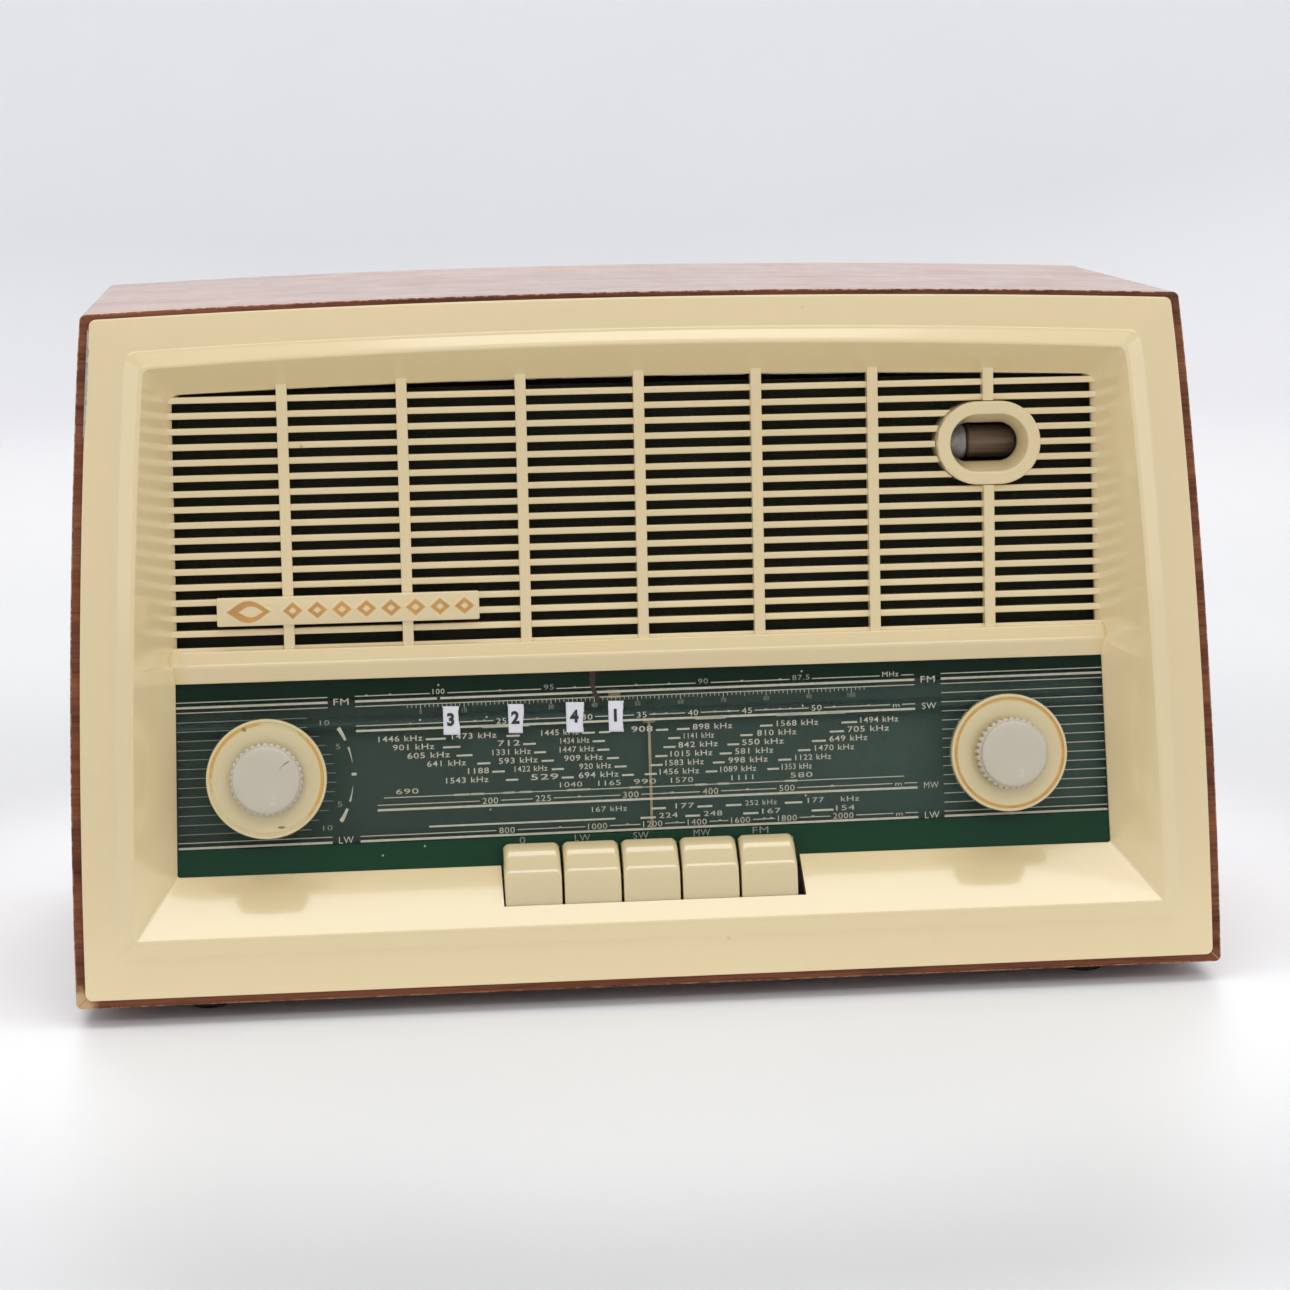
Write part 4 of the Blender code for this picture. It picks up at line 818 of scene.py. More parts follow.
def make_cloth():
    """The cloth behind the bars, with an opening for the indicator and slow, shallow waves."""
    columns, rows = 203, 54
    x0, x1, z0, z1 = CLOTH_BOX
    sections = []
    for j in range(rows + 1):
        z = z0 + (z1 - z0) * j / rows
        section = []
        for i in range(columns + 1):
            x = x0 + (x1 - x0) * i / columns
            wave = CLOTH_WAVE * math.sin(x * 0.11 + 0.7 * math.sin(z * 0.09)) * math.cos(z * 0.075)
            section.append((x, CLOTH_Y + wave, z))
        sections.append(section)
    verts, faces = grid(sections)
    reach = BEZEL_WIDTH / 2 - BEZEL_HEIGHT / 2
    window_radius = BEZEL_HEIGHT / 2 - CLOTH_OVERLAP

    def open_at(x, _, z):
        return math.hypot(max(abs(x - INDICATOR_X) - reach, 0.0), z - INDICATOR_Z) < window_radius

    faces = [face for face in faces if not any(open_at(*verts[i]) for i in face)]
    used = sorted({i for face in faces for i in face})
    index = {old: new for new, old in enumerate(used)}
    shape = [verts[i] for i in used], [tuple(index[i] for i in face) for face in faces]
    cloth = piece("grille_cloth_sheet", shape, GRILLE, (CLOTH,), None, "grille_cloth")


make_badge()
make_indicator()
make_cloth()


# ---- double knobs


def knob_place(centre):
    """Where a double knob's pieces stand: their Z axis comes out of the front."""
    return FACE @ Matrix.Translation((centre.x, 0, centre.z)) @ Matrix.Rotation(RIGHT_ANGLE, 4, "X")


def make_ring(name, node, centre, body, worn):
    """The outer ring of a double knob: knurled round its rim, with a painted groove in its face."""
    segments = RING_TEETH * 4
    rows = (
        (5.4, -8.9), (14.0, -9.0), (16.4, -8.9), (20.6, -8.55), (22.2, -8.4), (22.6, -8.3), (22.75, -8.55),
        (23.7, -8.55), (23.85, -8.2), (24.35, -8.02), (24.85, -8.12), (25.15, -8.5), (25.3, -9.1),
        (25.3, -12.9), (24.9, -13.5), (24.0, -13.8), (10.0, -13.4), (9.0, -19.1), (5.4, -19.1),
    )
    knurled = {11: 0.5, 12: 1.0, 13: 1.0, 14: 0.5}

    def wave(angle, row):
        return -KNURL_DEPTH * knurled.get(row, 0.0) * (0.5 - 0.5 * math.cos(angle * RING_TEETH))

    shape = skin(turned_points(rows, segments, wave), closed=True)
    indices = [int(min(i // segments for i in face) in (5, 6, 7)) for face in shape[1]]
    piece(name, shape, WORLD, (RING_CREAM, worn), 40, node, body, indices, knob_place(centre))


def make_cap(name, node, centre, body):
    """The cap of a double knob: a dished face with a beaded rim below it."""
    rows = (
        (0.01, 2.2), (6.0, 2.2), (11.0, 2.14), (13.0, 1.98), (13.6, 1.75), (13.9, 1.35), (14.0, 0.8),
        (14.1, -1.2), (14.5, -1.35), (15.1, -1.65), (15.45, -2.4), (15.5, -3.6), (15.5, -6.6),
        (14.5, -7.4), (3.3, -7.4), (3.3, -1.0), (0.01, -1.0),
    )
    beaded = {8: 0.15, 9: 0.7, 10: 1.0, 11: 1.0, 12: 1.0, 13: 0.5}

    def wave(angle, row):
        return -BEAD_DEPTH * beaded.get(row, 0.0) * (1 - abs(math.sin(angle * CAP_BEADS / 2)) ** 0.9)

    shape = skin(turned_points(rows, CAP_BEADS * 12, wave))
    piece(name, shape, WORLD, (CAP,), 42, node, body, place=knob_place(centre))


make_ring("tone_ring_knurled", "tone_ring", LEFT_KNOB, "tone", WORN_AMBER)
make_ring("am_tuning_ring_knurled", "am_tuning_ring", RIGHT_KNOB, "am_tuning", AMBER)
make_cap("volume_cap", "volume_knob", LEFT_KNOB, "volume")
make_cap("fm_tuning_cap", "fm_tuning_knob", RIGHT_KNOB, "fm_tuning")


# ---- keys


def key_profile():
    """Side view of a key's cap: (y, z) points with their corners rounded."""
    corners = (
        (3.6, 26.0, 0.0), (2.7, 37.0, 5.0), (3.4, 49.3, 2.8), (8.3, 58.0, 4.5),
        (14.2, 60.9, 3.0), (16.6, 60.2, 1.0), (16.8, 44.0, 0.0), (15.0, 26.0, 0.0),
    )
    return rounded([(y, z, 0) for y, z, _ in corners], [r for *_, r in corners], 8)


def make_keys():
    """Piano keys: a cap whose side edges are rounder towards the top, on a lever that holds the axle."""
    pivot = TO_FACE @ (Vector(JOINTS["key_1_press"]["pos_m"]) / MM)
    profile = [Vector((p[0], p[1])) for p in key_profile()]
    count = len(profile)
    alongs = [profile[(k + 1) % count] - profile[k - 1] for k in range(count)]
    normals = [Vector((along.y, -along.x)).normalized() for along in alongs]
    if (profile[0] - Vector((10.0, KEY_MIDDLE))).dot(normals[0]) < 0:
        normals = [-n for n in normals]
    sections = []
    for e in (0.0, 0.06, 0.2, 0.45, 0.8, 1.25, 1.8, 2.4, 3.0, 6.0, 12.0):
        loop = []
        for p, n in zip(profile, normals):
            high = min(1.0, max(0.0, (p.y - KEY_MIDDLE) / KEY_BLEND))
            radius = KEY_EDGE + KEY_EDGE_GAIN * high * high * (3 - 2 * high)
            inset = radius - math.sqrt(max(0.0, radius**2 - (radius - e) ** 2)) if e < radius else 0.0
            q = p - n * inset
            loop.append((e - KEY_WIDTH / 2, q.x, q.y))
        sections.append(loop)
    sections += [[(-x, y, z) for x, y, z in loop] for loop in reversed(sections[:-1])]
    lever = [(-48.0, -15.0), (-48.0, -5.0), (-36.0, -4.5), (-14.0, 3.5)]
    lever += arc((0, 0), 5.0, 135, -115, 20) + [(-30.0, -12.5)]
    arm = [[(s, y + pivot.y, z + pivot.z) for y, z in lever] for s in (-3.0, 3.0)]
    shape = merged([skin(sections), skin(arm)])
    for k in range(1, KEY_COUNT + 1):
        low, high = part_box(f"key_{k}")
        shift = Matrix.Translation(((TO_FACE @ ((low + high) / 2 / MM)).x, 0, 0))
        piece(f"key_cap_{k}", shape, FACE @ shift, (KEY_CREAM,), 35, f"key_{k}", f"key_{k}")


make_keys()


# ---- dial print

PRINT_Y = GLASS_Y - 0.04
CAP_HEIGHT = 0.70  # of the face, as a share of its size
THIN, THICK = 0.36, 0.95
LEFT_END, RIGHT_END = -198.2, 198.6
ARC_RADIUS = 36.3
NO_NUMBER = 0
# each station's dash, from and to, and where its number starts
STATIONS = (
    (
        (-94.0, -85.6, -114), (-59.8, -54.2, -83), (-27.6, -22.2, -45), (-20.4, -15.6, NO_NUMBER),
        (4.0, 9.2, -6.5), (13.0, 18.4, 19.8), (48.8, 54.2, 56.0), (84.0, 90.8, 92.2),
    ),
    (
        (-86.8, -79.5, -108), (-52.8, -47.5, -63.6), (-23.2, -18.0, -37), (9.2, 14.4, 15.8),
        (40.2, 45.4, 47.4), (78.8, 85.0, 86.6),
    ),
    (
        (-81.2, -74.5, -102), (-48.3, -43.2, -66), (-21.3, -16.2, -37.4), (7.0, 12.2, 13.4),
        (34.5, 39.6, 40.8), (71.0, 77.0, 78.6),
    ),
    (
        (-72.5, -67.0, -93.8), (-45.2, -40.0, -63.4), (-17.3, -12.2, -35.6), (3.4, 8.6, 9.9),
        (31.0, 36.2, 37.7), (64.8, 70.2, 72.2),
    ),
    (
        (-66.3, -61.0, -76.6), (-41.0, -35.8, -56.8), (-14.2, -9.0, -29.2), (1.2, 6.4, 7.6),
        (28.0, 33.0, 34.7), (56.2, 61.8, 63.6),
    ),
    (
        (-60.6, -55.4, -86.0), (-36.9, -31.8, -50.0), (-11.1, -6.0, -29.6), (-1.4, 3.8, 5.0),
        (24.8, 29.8, 31.1), (51.4, 56.4, 57.6),
    ),
)
STATION_WIDTHS = (19.0, 17.5, 18.0, 16.5, 14.0, 18.0)
DOTS = (
    (-88.0, 129.2), (-96.2, 114.7), (-68.0, 114.8), (67.4, 129.0), (67.4, 114.3), (67.6, 75.8),
    (-67.6, 75.5), (-95.8, 61.2), (-113.6, 58.0),
)
LABELS = (
    ("3", -86.4, -79.6, 107.5), ("2", -58.8, -52.4, 107.3),
    ("4", -34.2, -26.8, 106.7), ("1", -16.1, -9.8, 106.4),
)
LABEL_TOP = 119.6
OVER_KEYS = (("0", -54.4, 2.4), ("LW", -28.8, 6.6), ("SW", -3.8, 6.6), ("MW", 22.4, 7.2), ("FM", 47.6, 6.8))


class Print:
    """Flat marks on the dial glass, placed by x and height along the lean, before the print's tilt."""

    def __init__(self):
        self.verts, self.faces, self.indices = [], [], []

    def polygon(self, points, dim=0):
        base = len(self.verts)
        self.verts += [(x, PRINT_Y, z + x * PRINT_TILT) for x, z in points]
        self.faces.append(tuple(range(base, base + len(points))))
        self.indices.append(dim)

    def bar(self, x0, x1, z, thick, dim=0):
        low, high = z - thick / 2, z + thick / 2
        self.polygon([(x0, low), (x1, low), (x1, high), (x0, high)], dim)

    def bars(self, spans, z, thick):
        for x0, x1 in spans:
            self.bar(x0, x1, z, thick)

    def ticks(self, places, z, half, thick):
        self.bars([(x - half, x + half) for x in places], z, thick)

    def text(self, words, x, z, height, width=None, dim=0, anchor=0.5, bold=0.0):
        """Words in a plain face. anchor is the share of their width that lies left of x."""
        curve = bpy.data.curves.new("words", "FONT")
        curve.body, curve.size, curve.offset = words, 1.0, bold
        curve.resolution_u, curve.space_character = 3, 1.10
        carrier = bpy.data.objects.new("words", curve)
        bpy.context.scene.collection.objects.link(carrier)
        graph = bpy.context.evaluated_depsgraph_get()
        mesh = bpy.data.meshes.new_from_object(carrier.evaluated_get(graph))
        bpy.data.objects.remove(carrier, do_unlink=True)
        points = np.array([v.co[:2] for v in mesh.vertices])
        first, last = points.min(0)[0], points.max(0)[0]
        stretch = width / (last - first) if width else height / CAP_HEIGHT * 0.95
        left = x - anchor * (last - first) * stretch
        base = len(self.verts)
        for px, pz in points:
            wx = left + (px - first) * stretch
            self.verts.append((wx, PRINT_Y, z - height / 2 + pz * height / CAP_HEIGHT + wx * PRINT_TILT))
        for face in mesh.polygons:
            self.faces.append(tuple(base + i for i in face.vertices))
            self.indices.append(dim)
        bpy.data.meshes.remove(mesh)
        return left, left + (last - first) * stretch

    def texts(self, *rows):
        return [self.text(*row) for row in rows]


def spans_between(x0, x1, gaps, clear=1.2):
    """The stretches of a line from x0 to x1 that the given gaps leave."""
    out, at = [], x0
    for g0, g1 in sorted(gaps):
        if g0 - clear > at:
            out.append((at, g0 - clear))
        at = max(at, g1 + clear)
    if at < x1:
        out.append((at, x1))
    return out


def print_fm(p):
    gaps = p.texts(
        ("100", -88.0, 126.5, 2.2, 5.0), ("95", -41.2, 126.5, 2.2, 4.2, 1), ("90", 24.8, 126.5, 2.2, 4.2, 1),
        ("87.5", 67.0, 126.5, 2.2, 7.4, 1), ("MHz", 105.8, 126.4, 2.2, 7.0),
    )
    left, right = (LEFT_END, -134.9), (127.7, RIGHT_END)
    p.bars([left, *spans_between(-123.3, 116.0, gaps), right], 125.75, THIN)
    p.bars([left, (-123.3, -88.8), (-87.4, 116.2), right], 123.55, THICK)
    p.bars([left, (-123.3, 116.2), right], 121.4, THIN)
    p.texts(("FM", -129.2, 123.7, 2.8, 6.4), ("FM", 122.0, 123.6, 2.8, 6.2))
    for k in range(-3, 104):
        x = -95.8 + 1.845 * k
        tall = 2.2 if k % 10 == 0 else 1.9 if k % 5 == 0 else 1.4
        p.bar(x - 0.13, x + 0.13, 121.4 - tall / 2, tall)
    for k in (0, 1, 3, 4, 5, 6, 7, 8, 9, 10):
        p.text(str(10 * k), -95.8 + 18.45 * k, 118.1, 1.8, None, 1)
    p.ticks((-118.5, -108.5, -62.0, -30.2, -3.8, 10.2, 41.5, 58.0), 125.9, 0.5, 0.75)


def print_sw(p):
    gaps = p.texts(
        ("25", -61.8, 113.0, 2.4, 4.2), ("30", -25.2, 113.2, 2.4, 4.4), ("35", -1.9, 113.2, 2.4, 4.2),
        ("40", 20.1, 113.2, 2.4, 4.4), ("45", 43.3, 113.2, 2.4, 4.4), ("50", 73.4, 113.2, 2.4, 4.4),
        ("m", 108.0, 113.0, 1.9, 2.8),
    )
    p.bars(spans_between(-123.3, 116.2, gaps), 113.2, THIN)
    marks = (-100.4, -73.0, -69.0, -46.5, -13.5, 3.5, 8.6, 29.5, 35.5, 51.5, 57.5, 62.0, 81.0, 96.0)
    p.ticks(marks, 113.3, 0.6, 0.7)
    p.bar(-123.3, 116.2, 111.05, THICK)
    for band in ((-70.0, -50.0, 110.65, 0.9), (21.0, 34.0, 110.7, 1.0), (56.0, 86.0, 110.75, 0.9)):
        p.bar(*band)
    p.text("SW", 122.3, 112.2, 2.7, 6.2)


def print_stations(p):
    """Marks for single stations in six rows: a dash and a frequency before or after it."""
    for row, marks in enumerate(STATIONS):
        z = 107.15 - 3.73 * row
        for k, (x0, x1, start) in enumerate(marks):
            p.bar(x0, x1, z - 0.75, 0.8)
            number = str(rng.randrange(520, 1600))
            if start == NO_NUMBER:
                continue
            width = STATION_WIDTHS[(row + k) % len(STATION_WIDTHS)] - 1.0
            if start < x0:
                room = x0 - 1.4 - start
                width = min(room, STATION_WIDTHS[row])
                number += " kHz" if room > 12 else ""
            else:
                number += " kHz"
            p.text(number, start, z, 2.4, width, 0, 0.0, 0.008)
    for x in (-102.5, -33.0, -16.6, -1.4, 14.5, 40.5, 66.0):
        p.text(f"{rng.randrange(520, 1600)}", x, 84.75, 2.2, 9.5)
    p.bar(-112.4, 110.6, 82.3, THIN)
    dashes = (
        (-82.8, -76.4), (-75.6, -70.0), (-62.0, -57.2), (-55.0, -49.8), (-34.8, -24.8),
        (-8.0, -2.8), (20.0, 25.2), (29.6, 34.6), (58.8, 64.2),
    )
    p.bars(dashes, 82.35, 0.85)


def print_mw(p):
    gaps = p.texts(
        ("200", -67.5, 79.3, 2.6, 6.6), ("225", -45.0, 79.4, 2.6, 6.6), ("300", -7.6, 79.4, 2.6, 6.6),
        ("400", 26.6, 79.4, 2.6, 6.6), ("500", 59.6, 79.4, 2.6, 6.6), ("m", 108.0, 79.2, 1.9, 2.8),
    )
    p.bars(spans_between(-115.2, 116.2, gaps), 79.3, THIN)
    p.bar(-115.2, 116.2, 77.2, THICK)
    p.ticks((-29.6, 10.2, 42.6, 79.2), 79.45, 0.6, 0.75)
    p.text("MW", 122.3, 78.1, 2.7, 6.4)


def print_lw(p):
    for z, x0, x1, start, width in (
        (73.0, 1.0, 7.2, -24.4, 15.0), (73.0, 20.8, 27.2, 11.4, 8.0), (73.0, 33.0, 39.8, 41.4, 13.6),
        (73.0, 58.5, 66.0, 68.4, 7.0), (69.2, -3.7, 2.8, 4.2, 8.0), (69.2, 15.5, 21.8, 23.4, 8.0),
        (69.2, 40.4, 47.0, 48.6, 8.0), (69.2, 70.0, 79.4, 80.6, 8.0),
    ):
        p.bar(x0, x1, z, 0.85)
        unit = " kHz" if width > 12 else ""
        p.text(f"{rng.randrange(150, 285)}{unit}", start, z + 0.7, 2.2, width, 0, 0.0)
    p.text("kHz", 86.8, 73.7, 2.2, 8.0)
    p.bar(-93.7, -14.5, 69.4, 0.75)
    gaps = p.texts(
        ("800", -60.8, 66.5, 2.5, 6.6), ("1000", -22.2, 66.5, 2.5, 8.2), ("1200", 1.4, 66.5, 2.5, 8.2),
        ("1400", 20.5, 66.5, 2.5, 8.2), ("1600", 39.2, 66.5, 2.5, 8.2), ("1800", 59.4, 66.5, 2.5, 8.2),
        ("2000", 83.6, 66.5, 2.5, 8.8), ("m", 108.0, 66.3, 1.9, 2.8),
    )
    left, right = (LEFT_END - 0.8, -134.6), (127.7, RIGHT_END + 0.6)
    p.bar(*left, 66.7, THIN)
    p.bars([*spans_between(-122.8, 116.2, gaps), right], 66.5, THIN)
    p.bars([left, (-122.8, 116.2), right], 64.4, THICK)
    p.texts(("LW", -128.8, 65.3, 2.9, 6.2), ("LW", 122.3, 65.2, 2.9, 6.4))
    p.ticks((-38.2, -9.4, 11.8, 30.3, 49.4, 52.4, 70.5), 66.7, 0.6, 0.75)


def print_knob_fields(p):
    """Thin rules behind the knobs, and the tone control's arc of wedges with a square at its middle."""
    for k, end in enumerate((
        -143.8, -143.8, -138.8, -136.2, -133.8, -132.8, -132.3, -132.2, -132.8, -134.0, -136.0, -140.0, -143.3,
    )):
        p.bar(LEFT_END - 0.03 * k, end, 117.4 - 3.93 * k, 0.3, 1)
        p.bar(127.7, RIGHT_END + 0.03 * k, 117.5 - 3.93 * k, 0.34)
    centre = (LEFT_KNOB.x, LEFT_KNOB.z + LEFT_KNOB.x * -PRINT_TILT)
    for sign in (1, -1):
        for a0, a1, w0, w1 in ((33.0, 23.5, 1.7, 1.05), (18.5, 7.6, 0.85, 0.1)):
            inner, outer = [], []
            for s in range(11):
                t = s / 10
                a, w = math.radians(sign * (a0 + (a1 - a0) * t)), w0 + (w1 - w0) * t
                for side, r in ((inner, ARC_RADIUS - w / 2), (outer, ARC_RADIUS + w / 2)):
                    side.append((centre[0] + r * math.cos(a), centre[1] + r * math.sin(a)))
            p.polygon(inner + outer[::-1])
        p.text("10", -136.4, centre[1] + sign * 22.2, 2.1, 4.0, 1)
        p.text("5", -131.0, centre[1] + sign * 12.2 - 0.2, 2.3, 1.9, 1)
    p.bar(-125.7, -123.6, centre[1], 1.2)


def make_print():
    p = Print()
    for scale in (print_fm, print_sw, print_stations, print_mw, print_lw, print_knob_fields):
        scale(p)
    for words, x, width in OVER_KEYS:
        p.text(words, x, 61.9, 2.9, width, 1)
    for x, z in DOTS:
        p.polygon([(x + 0.42 * math.cos(0.8 * k), z + 0.42 * math.sin(0.8 * k)) for k in range(8)])
    shape = p.verts, p.faces
    piece("dial_print", shape, FACE, (PRINT, PRINT_DIM), None, indices=p.indices)


make_print()


def thicken(obj, thickness):
    obj.modifiers.new("thickness", "SOLIDIFY").thickness = thickness * MM


def make_labels():
    """Four paper number labels stuck on the glass, their right edges torn."""
    for digit, x0, x1, z0 in LABELS:
        steps, columns = 14, 7
        sections = []
        for k in range(steps + 1):
            z = z0 + (LABEL_TOP - z0) * k / steps
            left = x0 + 0.05 * math.sin(3.0 * k)
            right = x1 + 0.35 * math.sin(0.33 * k + x0) + rng.uniform(-0.12, 0.12)
            row = []
            for c in range(columns + 1):
                t = c / columns
                curl = 0.35 * max(0.0, t - 0.6) ** 2 * (1.5 + math.sin(0.5 * k))
                row.append((left + (right - left) * t, GLASS_Y - 0.14 - curl, z - 0.2 * t))
            sections.append(row)
        name = f"number_label_{digit}"
        thicken(piece(name, grid(sections), FACE, (LABEL,), None), 0.1)
        ink = Print()
        ink.text(digit, (x0 + x1) / 2 - 0.25, (z0 + LABEL_TOP) / 2 + 0.4, 5.0, bold=0.045)
        verts = [(x, GLASS_Y - 0.27, z - x * PRINT_TILT) for x, _, z in ink.verts]
        piece(name + "_ink", (verts, ink.faces), FACE, (INK,), None)


def make_drip():
    """A dried brown run down the glass, left of the middle."""
    path = (
        (-22.2, 132.2, 1.5), (-22.6, 129.0, 1.3), (-22.5, 126.0, 1.0),
        (-21.6, 123.0, 1.1), (-20.4, 120.2, 1.2), (-19.6, 118.6, 0.5),
    )
    sections, steps = [], 60
    for s in range(steps + 1):
        t = s / steps * (len(path) - 1)
        i = min(int(t), len(path) - 2)
        f = t - i
        x, z, w = (path[i][c] * (1 - f) + path[i + 1][c] * f for c in range(3))
        w *= rng.uniform(0.75, 1.2)
        x += rng.uniform(-0.15, 0.15)
        row = []
        for u, depth in ((-1.0, 0.0), (-0.5, 0.22), (0.0, 0.3), (0.5, 0.2), (1.0, 0.0)):
            row.append((x + u * w, GLASS_Y - 0.03 - depth * rng.uniform(0.6, 1.1), z))
        sections.append(row)
    piece("dried_drip", grid(sections), FACE, (DRIP,), None)


def make_residue():
    """A grey line of old filler in the joint between wood and moulding, at the upper left."""
    steps, sections = 60, []
    for k in range(steps + 1):
        z = 236.0 + 44.0 * k / steps
        outer = -(half_width(z) - FLANGE_INSET - 0.05)
        wide = 0.9 + 0.5 * math.sin(0.9 * k) * math.sin(0.23 * k) + rng.uniform(-0.25, 0.25)
        wide *= min(1.0, 4.0 * k / steps, 6.0 * (1 - k / steps)) + 0.02
        profile = ((0.0, -0.35), (0.35, FLANGE_FRONT - 0.1), (1.0, FLANGE_FRONT + 0.05))
        sections.append([(outer - 0.5 + (wide + 0.5) * t, y, z) for t, y in profile])
    piece("joint_residue", grid(sections), FACE, (RESIDUE,), None)


def make_marks():
    """Old dirt on the left double knob: two specks on its ring and a scratch on its cap."""
    place = knob_place(LEFT_KNOB)
    for name, x, y, wide, tall in (("upper", -8.7, 21.0, 1.1, 1.0), ("lower", 5.6, -20.4, 1.9, 0.6)):
        shape = [rng.uniform(0.75, 1.1) for _ in range(14)]
        turns = [(r, 2 * math.pi * k / len(shape)) for k, r in enumerate(shape)]
        edge = [(wide * r * math.cos(a), tall * r * math.sin(a)) for r, a in turns]
        sections = [
            [(x + scale * u, y + scale * v, height) for u, v in edge]
            for scale, height in ((1.0, -8.75), (0.95, -8.42), (0.6, -8.3), (0.15, -8.26))
        ]
        piece(f"ring_speck_{name}", skin(sections), WORLD, (SPECK,), 60, body="tone", place=place)
    start, end, steps = Vector((9.6, 7.6)), Vector((5.2, 3.6)), 12
    across = Vector((end.y - start.y, start.x - end.x)).normalized()
    left, right = [], []
    for k in range(steps + 1):
        t = k / steps
        at = start.lerp(end, t) + across * (0.5 * math.sin(math.pi * t) + rng.uniform(-0.06, 0.06))
        half = 0.2 * (1 - t) + 0.04
        left.append((*(at + across * half), 2.22))
        right.append((*(at - across * half), 2.22))
    shape = grid([left, right])
    thicken(piece("cap_scratch", shape, WORLD, (SPECK,), None, body="volume", place=place), 0.08)


make_labels()
make_drip()
make_residue()
make_marks()


# ---- feet


def make_feet():
    for part in ("front_left", "front_right", "back_left", "back_right"):
        low, high = (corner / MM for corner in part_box("foot_" + part))
        radius, tall = (high.x - low.x) / 2, high.z - low.z
        profile = [(0.01, 0.0), (radius - 2.4, 0.0), (radius - 1.0, 0.45), (radius - 0.2, 1.5), (radius, 3.0)]
        profile += [(radius, tall), (0.01, tall)]
        place = Matrix.Translation(((low.x + high.x) / 2, (low.y + high.y) / 2, low.z))
        shape = skin(turned_points(profile, 48))
        piece("rubber_foot_" + part, shape, place, (RUBBER,), 40, "foot_" + part)


make_feet()

# ---- carried-over nodes

CARRIED = (
    (GLASS, ("dial_glass",)),
    (PLATE, ("dial_plate", "pointer_rail")),
    (RING_CREAM, ("am_pointer", "fm_pointer")),
    (BAFFLE, ("baffle_board",)),
    (HARDBOARD, ("back_cover",)),
    (PAPER, ("speaker_cone",)),
    (IRON, ("mains_transformer", "output_transformer")),
    (VALVE_GLASS, ("mixer_valve", "audio_valve", "output_valve")),
    (RUBBER, ("mains_gland",)),
    (GREEN_CORD, ("dial_cord",)),
    (NYLON, ("cord_guide_left", "cord_guide_right", "dial_drum")),
    (WOOD_INSIDE, ("back_batten_left", "back_batten_right")),
)
LOOKS = {name: material for material, names in CARRIED for name in names}
for name, node in frame["nodes"].items():
    node.data.materials.clear()
    node.data.materials.append(LOOKS.get(name, STEEL))

# ---- stage, light and camera

STAGE_REACH, STAGE_SEGMENTS = 3.3, 96
FLAT_RADIUS, CURVE_RADIUS, STAGE_TOP = 2300.0, 900.0, 2200.0
# floor tones by distance from the radio: brighter close round it, painted light that cancels its shadow, then
# darker, and paler again towards and up the backdrop
FLOOR_TONES_AND_PAINTED_LIGHT = (
    (0.0, (0.82, 0.825, 0.83)),
    (0.085, (0.79, 0.795, 0.80)),
    (0.14, (0.585, 0.59, 0.595)),
    (0.27, (0.665, 0.67, 0.675)),
    (0.5, (0.73, 0.73, 0.74)),
    (1.0, (0.905, 0.905, 0.915)),
)
BOUNCE_TINT = (0.97, 0.97, 0.97)


def make_stage():
    """A pale floor that rises all round in one wide curve."""
    profile = [(r, 0.0) for r in (300.0, 900.0, 1600.0, FLAT_RADIUS)]
    for a in np.linspace(0.1, RIGHT_ANGLE, 14):
        profile.append((FLAT_RADIUS + CURVE_RADIUS * math.sin(a), CURVE_RADIUS * (1 - math.cos(a))))
    profile.append((FLAT_RADIUS + CURVE_RADIUS, STAGE_TOP))
    verts, faces = skin(turned_points(profile, STAGE_SEGMENTS), capped=False)
    faces.append(tuple(range(STAGE_SEGMENTS)))
    m = Nodes("pale_floor")
    away = m.vector_math("LENGTH", m.vector_math("MULTIPLY", m.coords, (1.0, 1.0, 0.3)))
    # painted light round the radio's foot, from the distance ramp
    tint = m.ramp(m.math("MULTIPLY", away, 1.0 / STAGE_REACH), *FLOOR_TONES_AND_PAINTED_LIGHT, interpolation="EASE")
    front = m.ramp(m.math("MULTIPLY", m.axis("Y"), -1.0), (0.42, 0.0), (0.75, 1.0))
    tint = m.mix(front, tint, BOUNCE_TINT)
    tint = m.mix(1.0, tint, m.ramp(m.noise(3.0), (0.3, 0.985), (0.7, 1.0)), "MULTIPLY")
    m.set(Base_Color=tint, Roughness=m.spread(m.noise(40.0), 0.0, 1.0, 0.38, 0.46))
    m.set(Normal=m.bump(m.noise(700.0), 0.03, 0.0002))
    new_object("floor", (verts, faces), WORLD, (m.material,), 60)


def area_light(name, at, towards, size, power, colour=(1, 1, 1)):
    data = bpy.data.lights.new(name, "AREA")
    data.shape, data.size, data.size_y = "RECTANGLE", size[0], size[1]
    data.energy, data.color = power, colour
    lamp = bpy.data.objects.new(name, data)
    lamp.location = at
    lamp.visible_camera = False
    lamp.rotation_euler = (Vector(towards) - Vector(at)).to_track_quat("-Z", "Y").to_euler()
    bpy.context.scene.collection.objects.link(lamp)


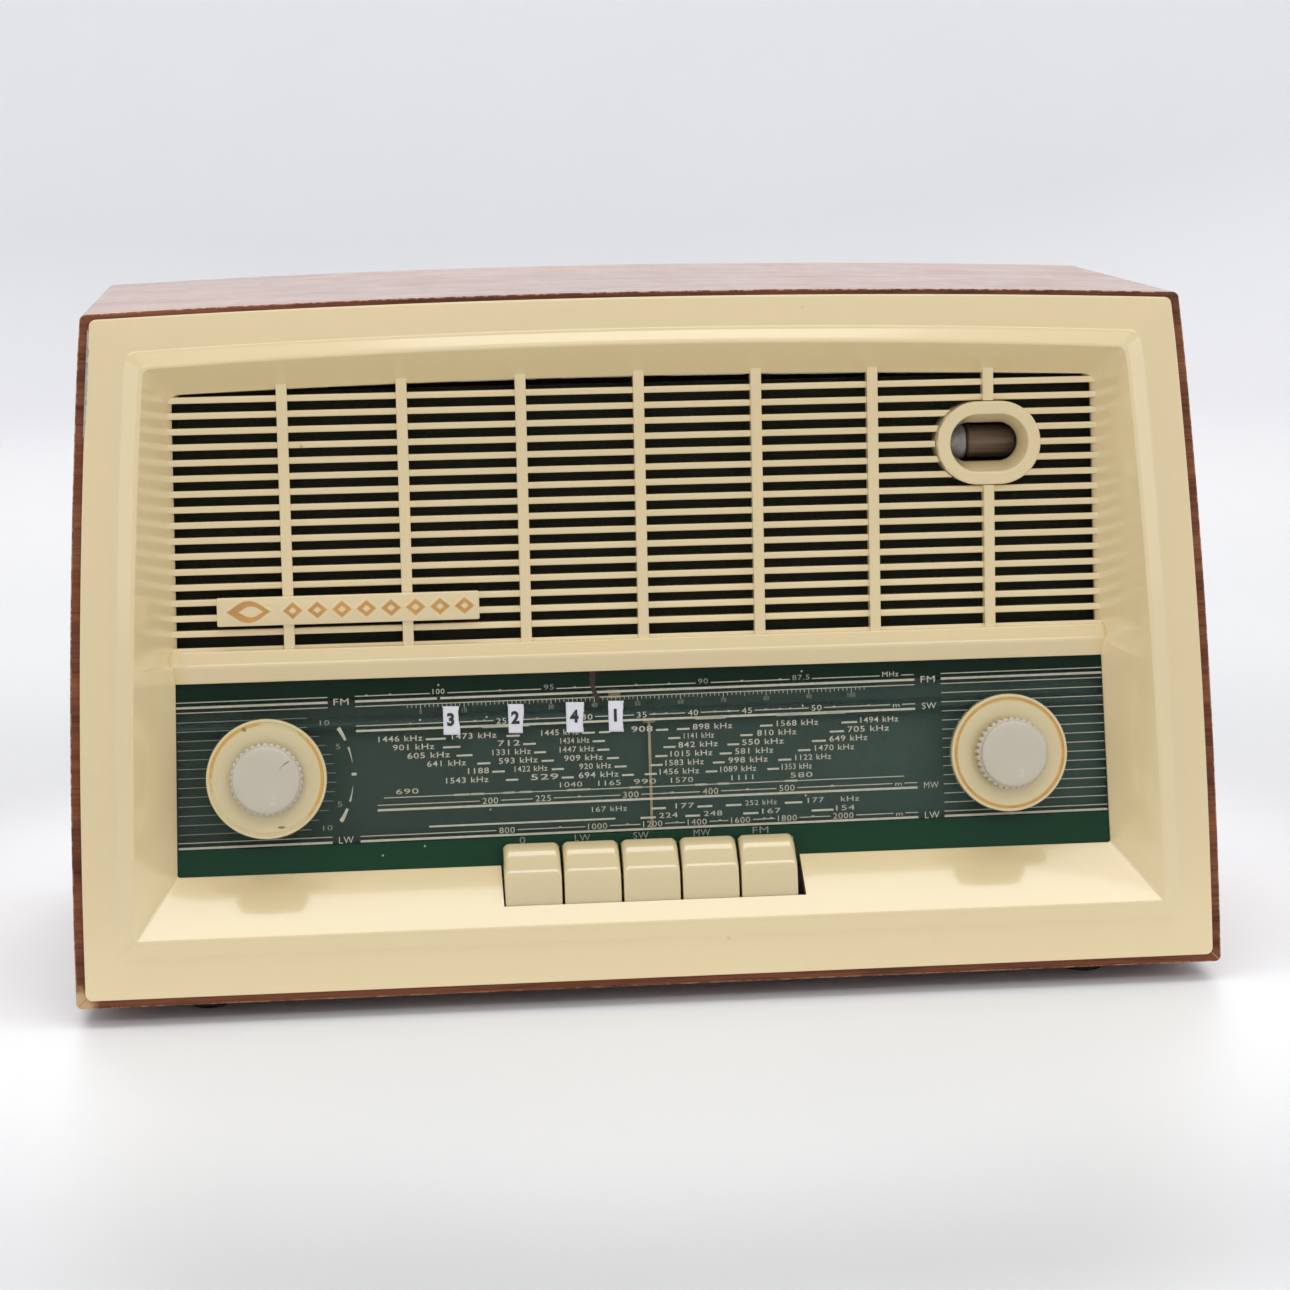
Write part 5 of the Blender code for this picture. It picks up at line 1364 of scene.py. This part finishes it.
WORLD_COLOUR, WORLD_STRENGTH = (0.93, 0.95, 1.0, 1.0), 0.66
SOFTBOXES = (
    ("overhead_softbox", (0.0, -0.20, 2.3), (0.0, -0.1, 0.1), (2.8, 0.9), 23.0, (1.0, 1.0, 1.0)),
    ("front_strip", (0.2, -2.0, 1.75), (0.0, 0.0, 0.15), (2.4, 0.4), 11.0, (1.0, 0.99, 0.975)),
    ("left_softbox", (-2.7, -1.1, 0.95), (0.0, -0.1, 0.15), (2.0, 2.0), 10.0, (1.0, 0.99, 0.97)),
    ("right_softbox", (2.7, -1.1, 0.95), (0.0, -0.1, 0.15), (2.0, 2.0), 10.0, (1.0, 0.99, 0.97)),
    ("back_softbox", (0.0, 2.0, 1.5), (0.0, 0.0, 0.29), (2.6, 1.0), 22.0, (1.0, 0.97, 0.95)),
)


def make_lights():
    world = bpy.data.worlds.new("studio")
    world.use_nodes = True
    background = world.node_tree.nodes["Background"]
    background.inputs["Color"].default_value = WORLD_COLOUR
    background.inputs["Strength"].default_value = WORLD_STRENGTH
    bpy.context.scene.world = world
    for softbox in SOFTBOXES:
        area_light(*softbox)


CAMERA_AT = (-0.1317, -1.3861, 0.3882)
CAMERA_AHEAD = (0.09836, 0.97861, -0.18067)
CAMERA_UP = (0.03178, 0.17836, 0.98345)
CAMERA_SENSOR, CAMERA_LENS = 36.0, 87.98


def make_camera():
    data = bpy.data.cameras.new("camera")
    data.sensor_width, data.lens = CAMERA_SENSOR, CAMERA_LENS
    data.clip_start, data.clip_end = 0.05, 30.0
    camera = bpy.data.objects.new("camera", data)
    back = -Vector(CAMERA_AHEAD).normalized()
    right = Vector(CAMERA_UP).cross(back).normalized()
    up = back.cross(right)
    turn = Matrix((right, up, back)).transposed()
    camera.matrix_world = Matrix.Translation(CAMERA_AT) @ turn.to_4x4()
    bpy.context.scene.collection.objects.link(camera)
    bpy.context.scene.camera = camera


make_stage()
make_lights()
make_camera()
bpy.context.scene.view_settings.view_transform = "Standard"
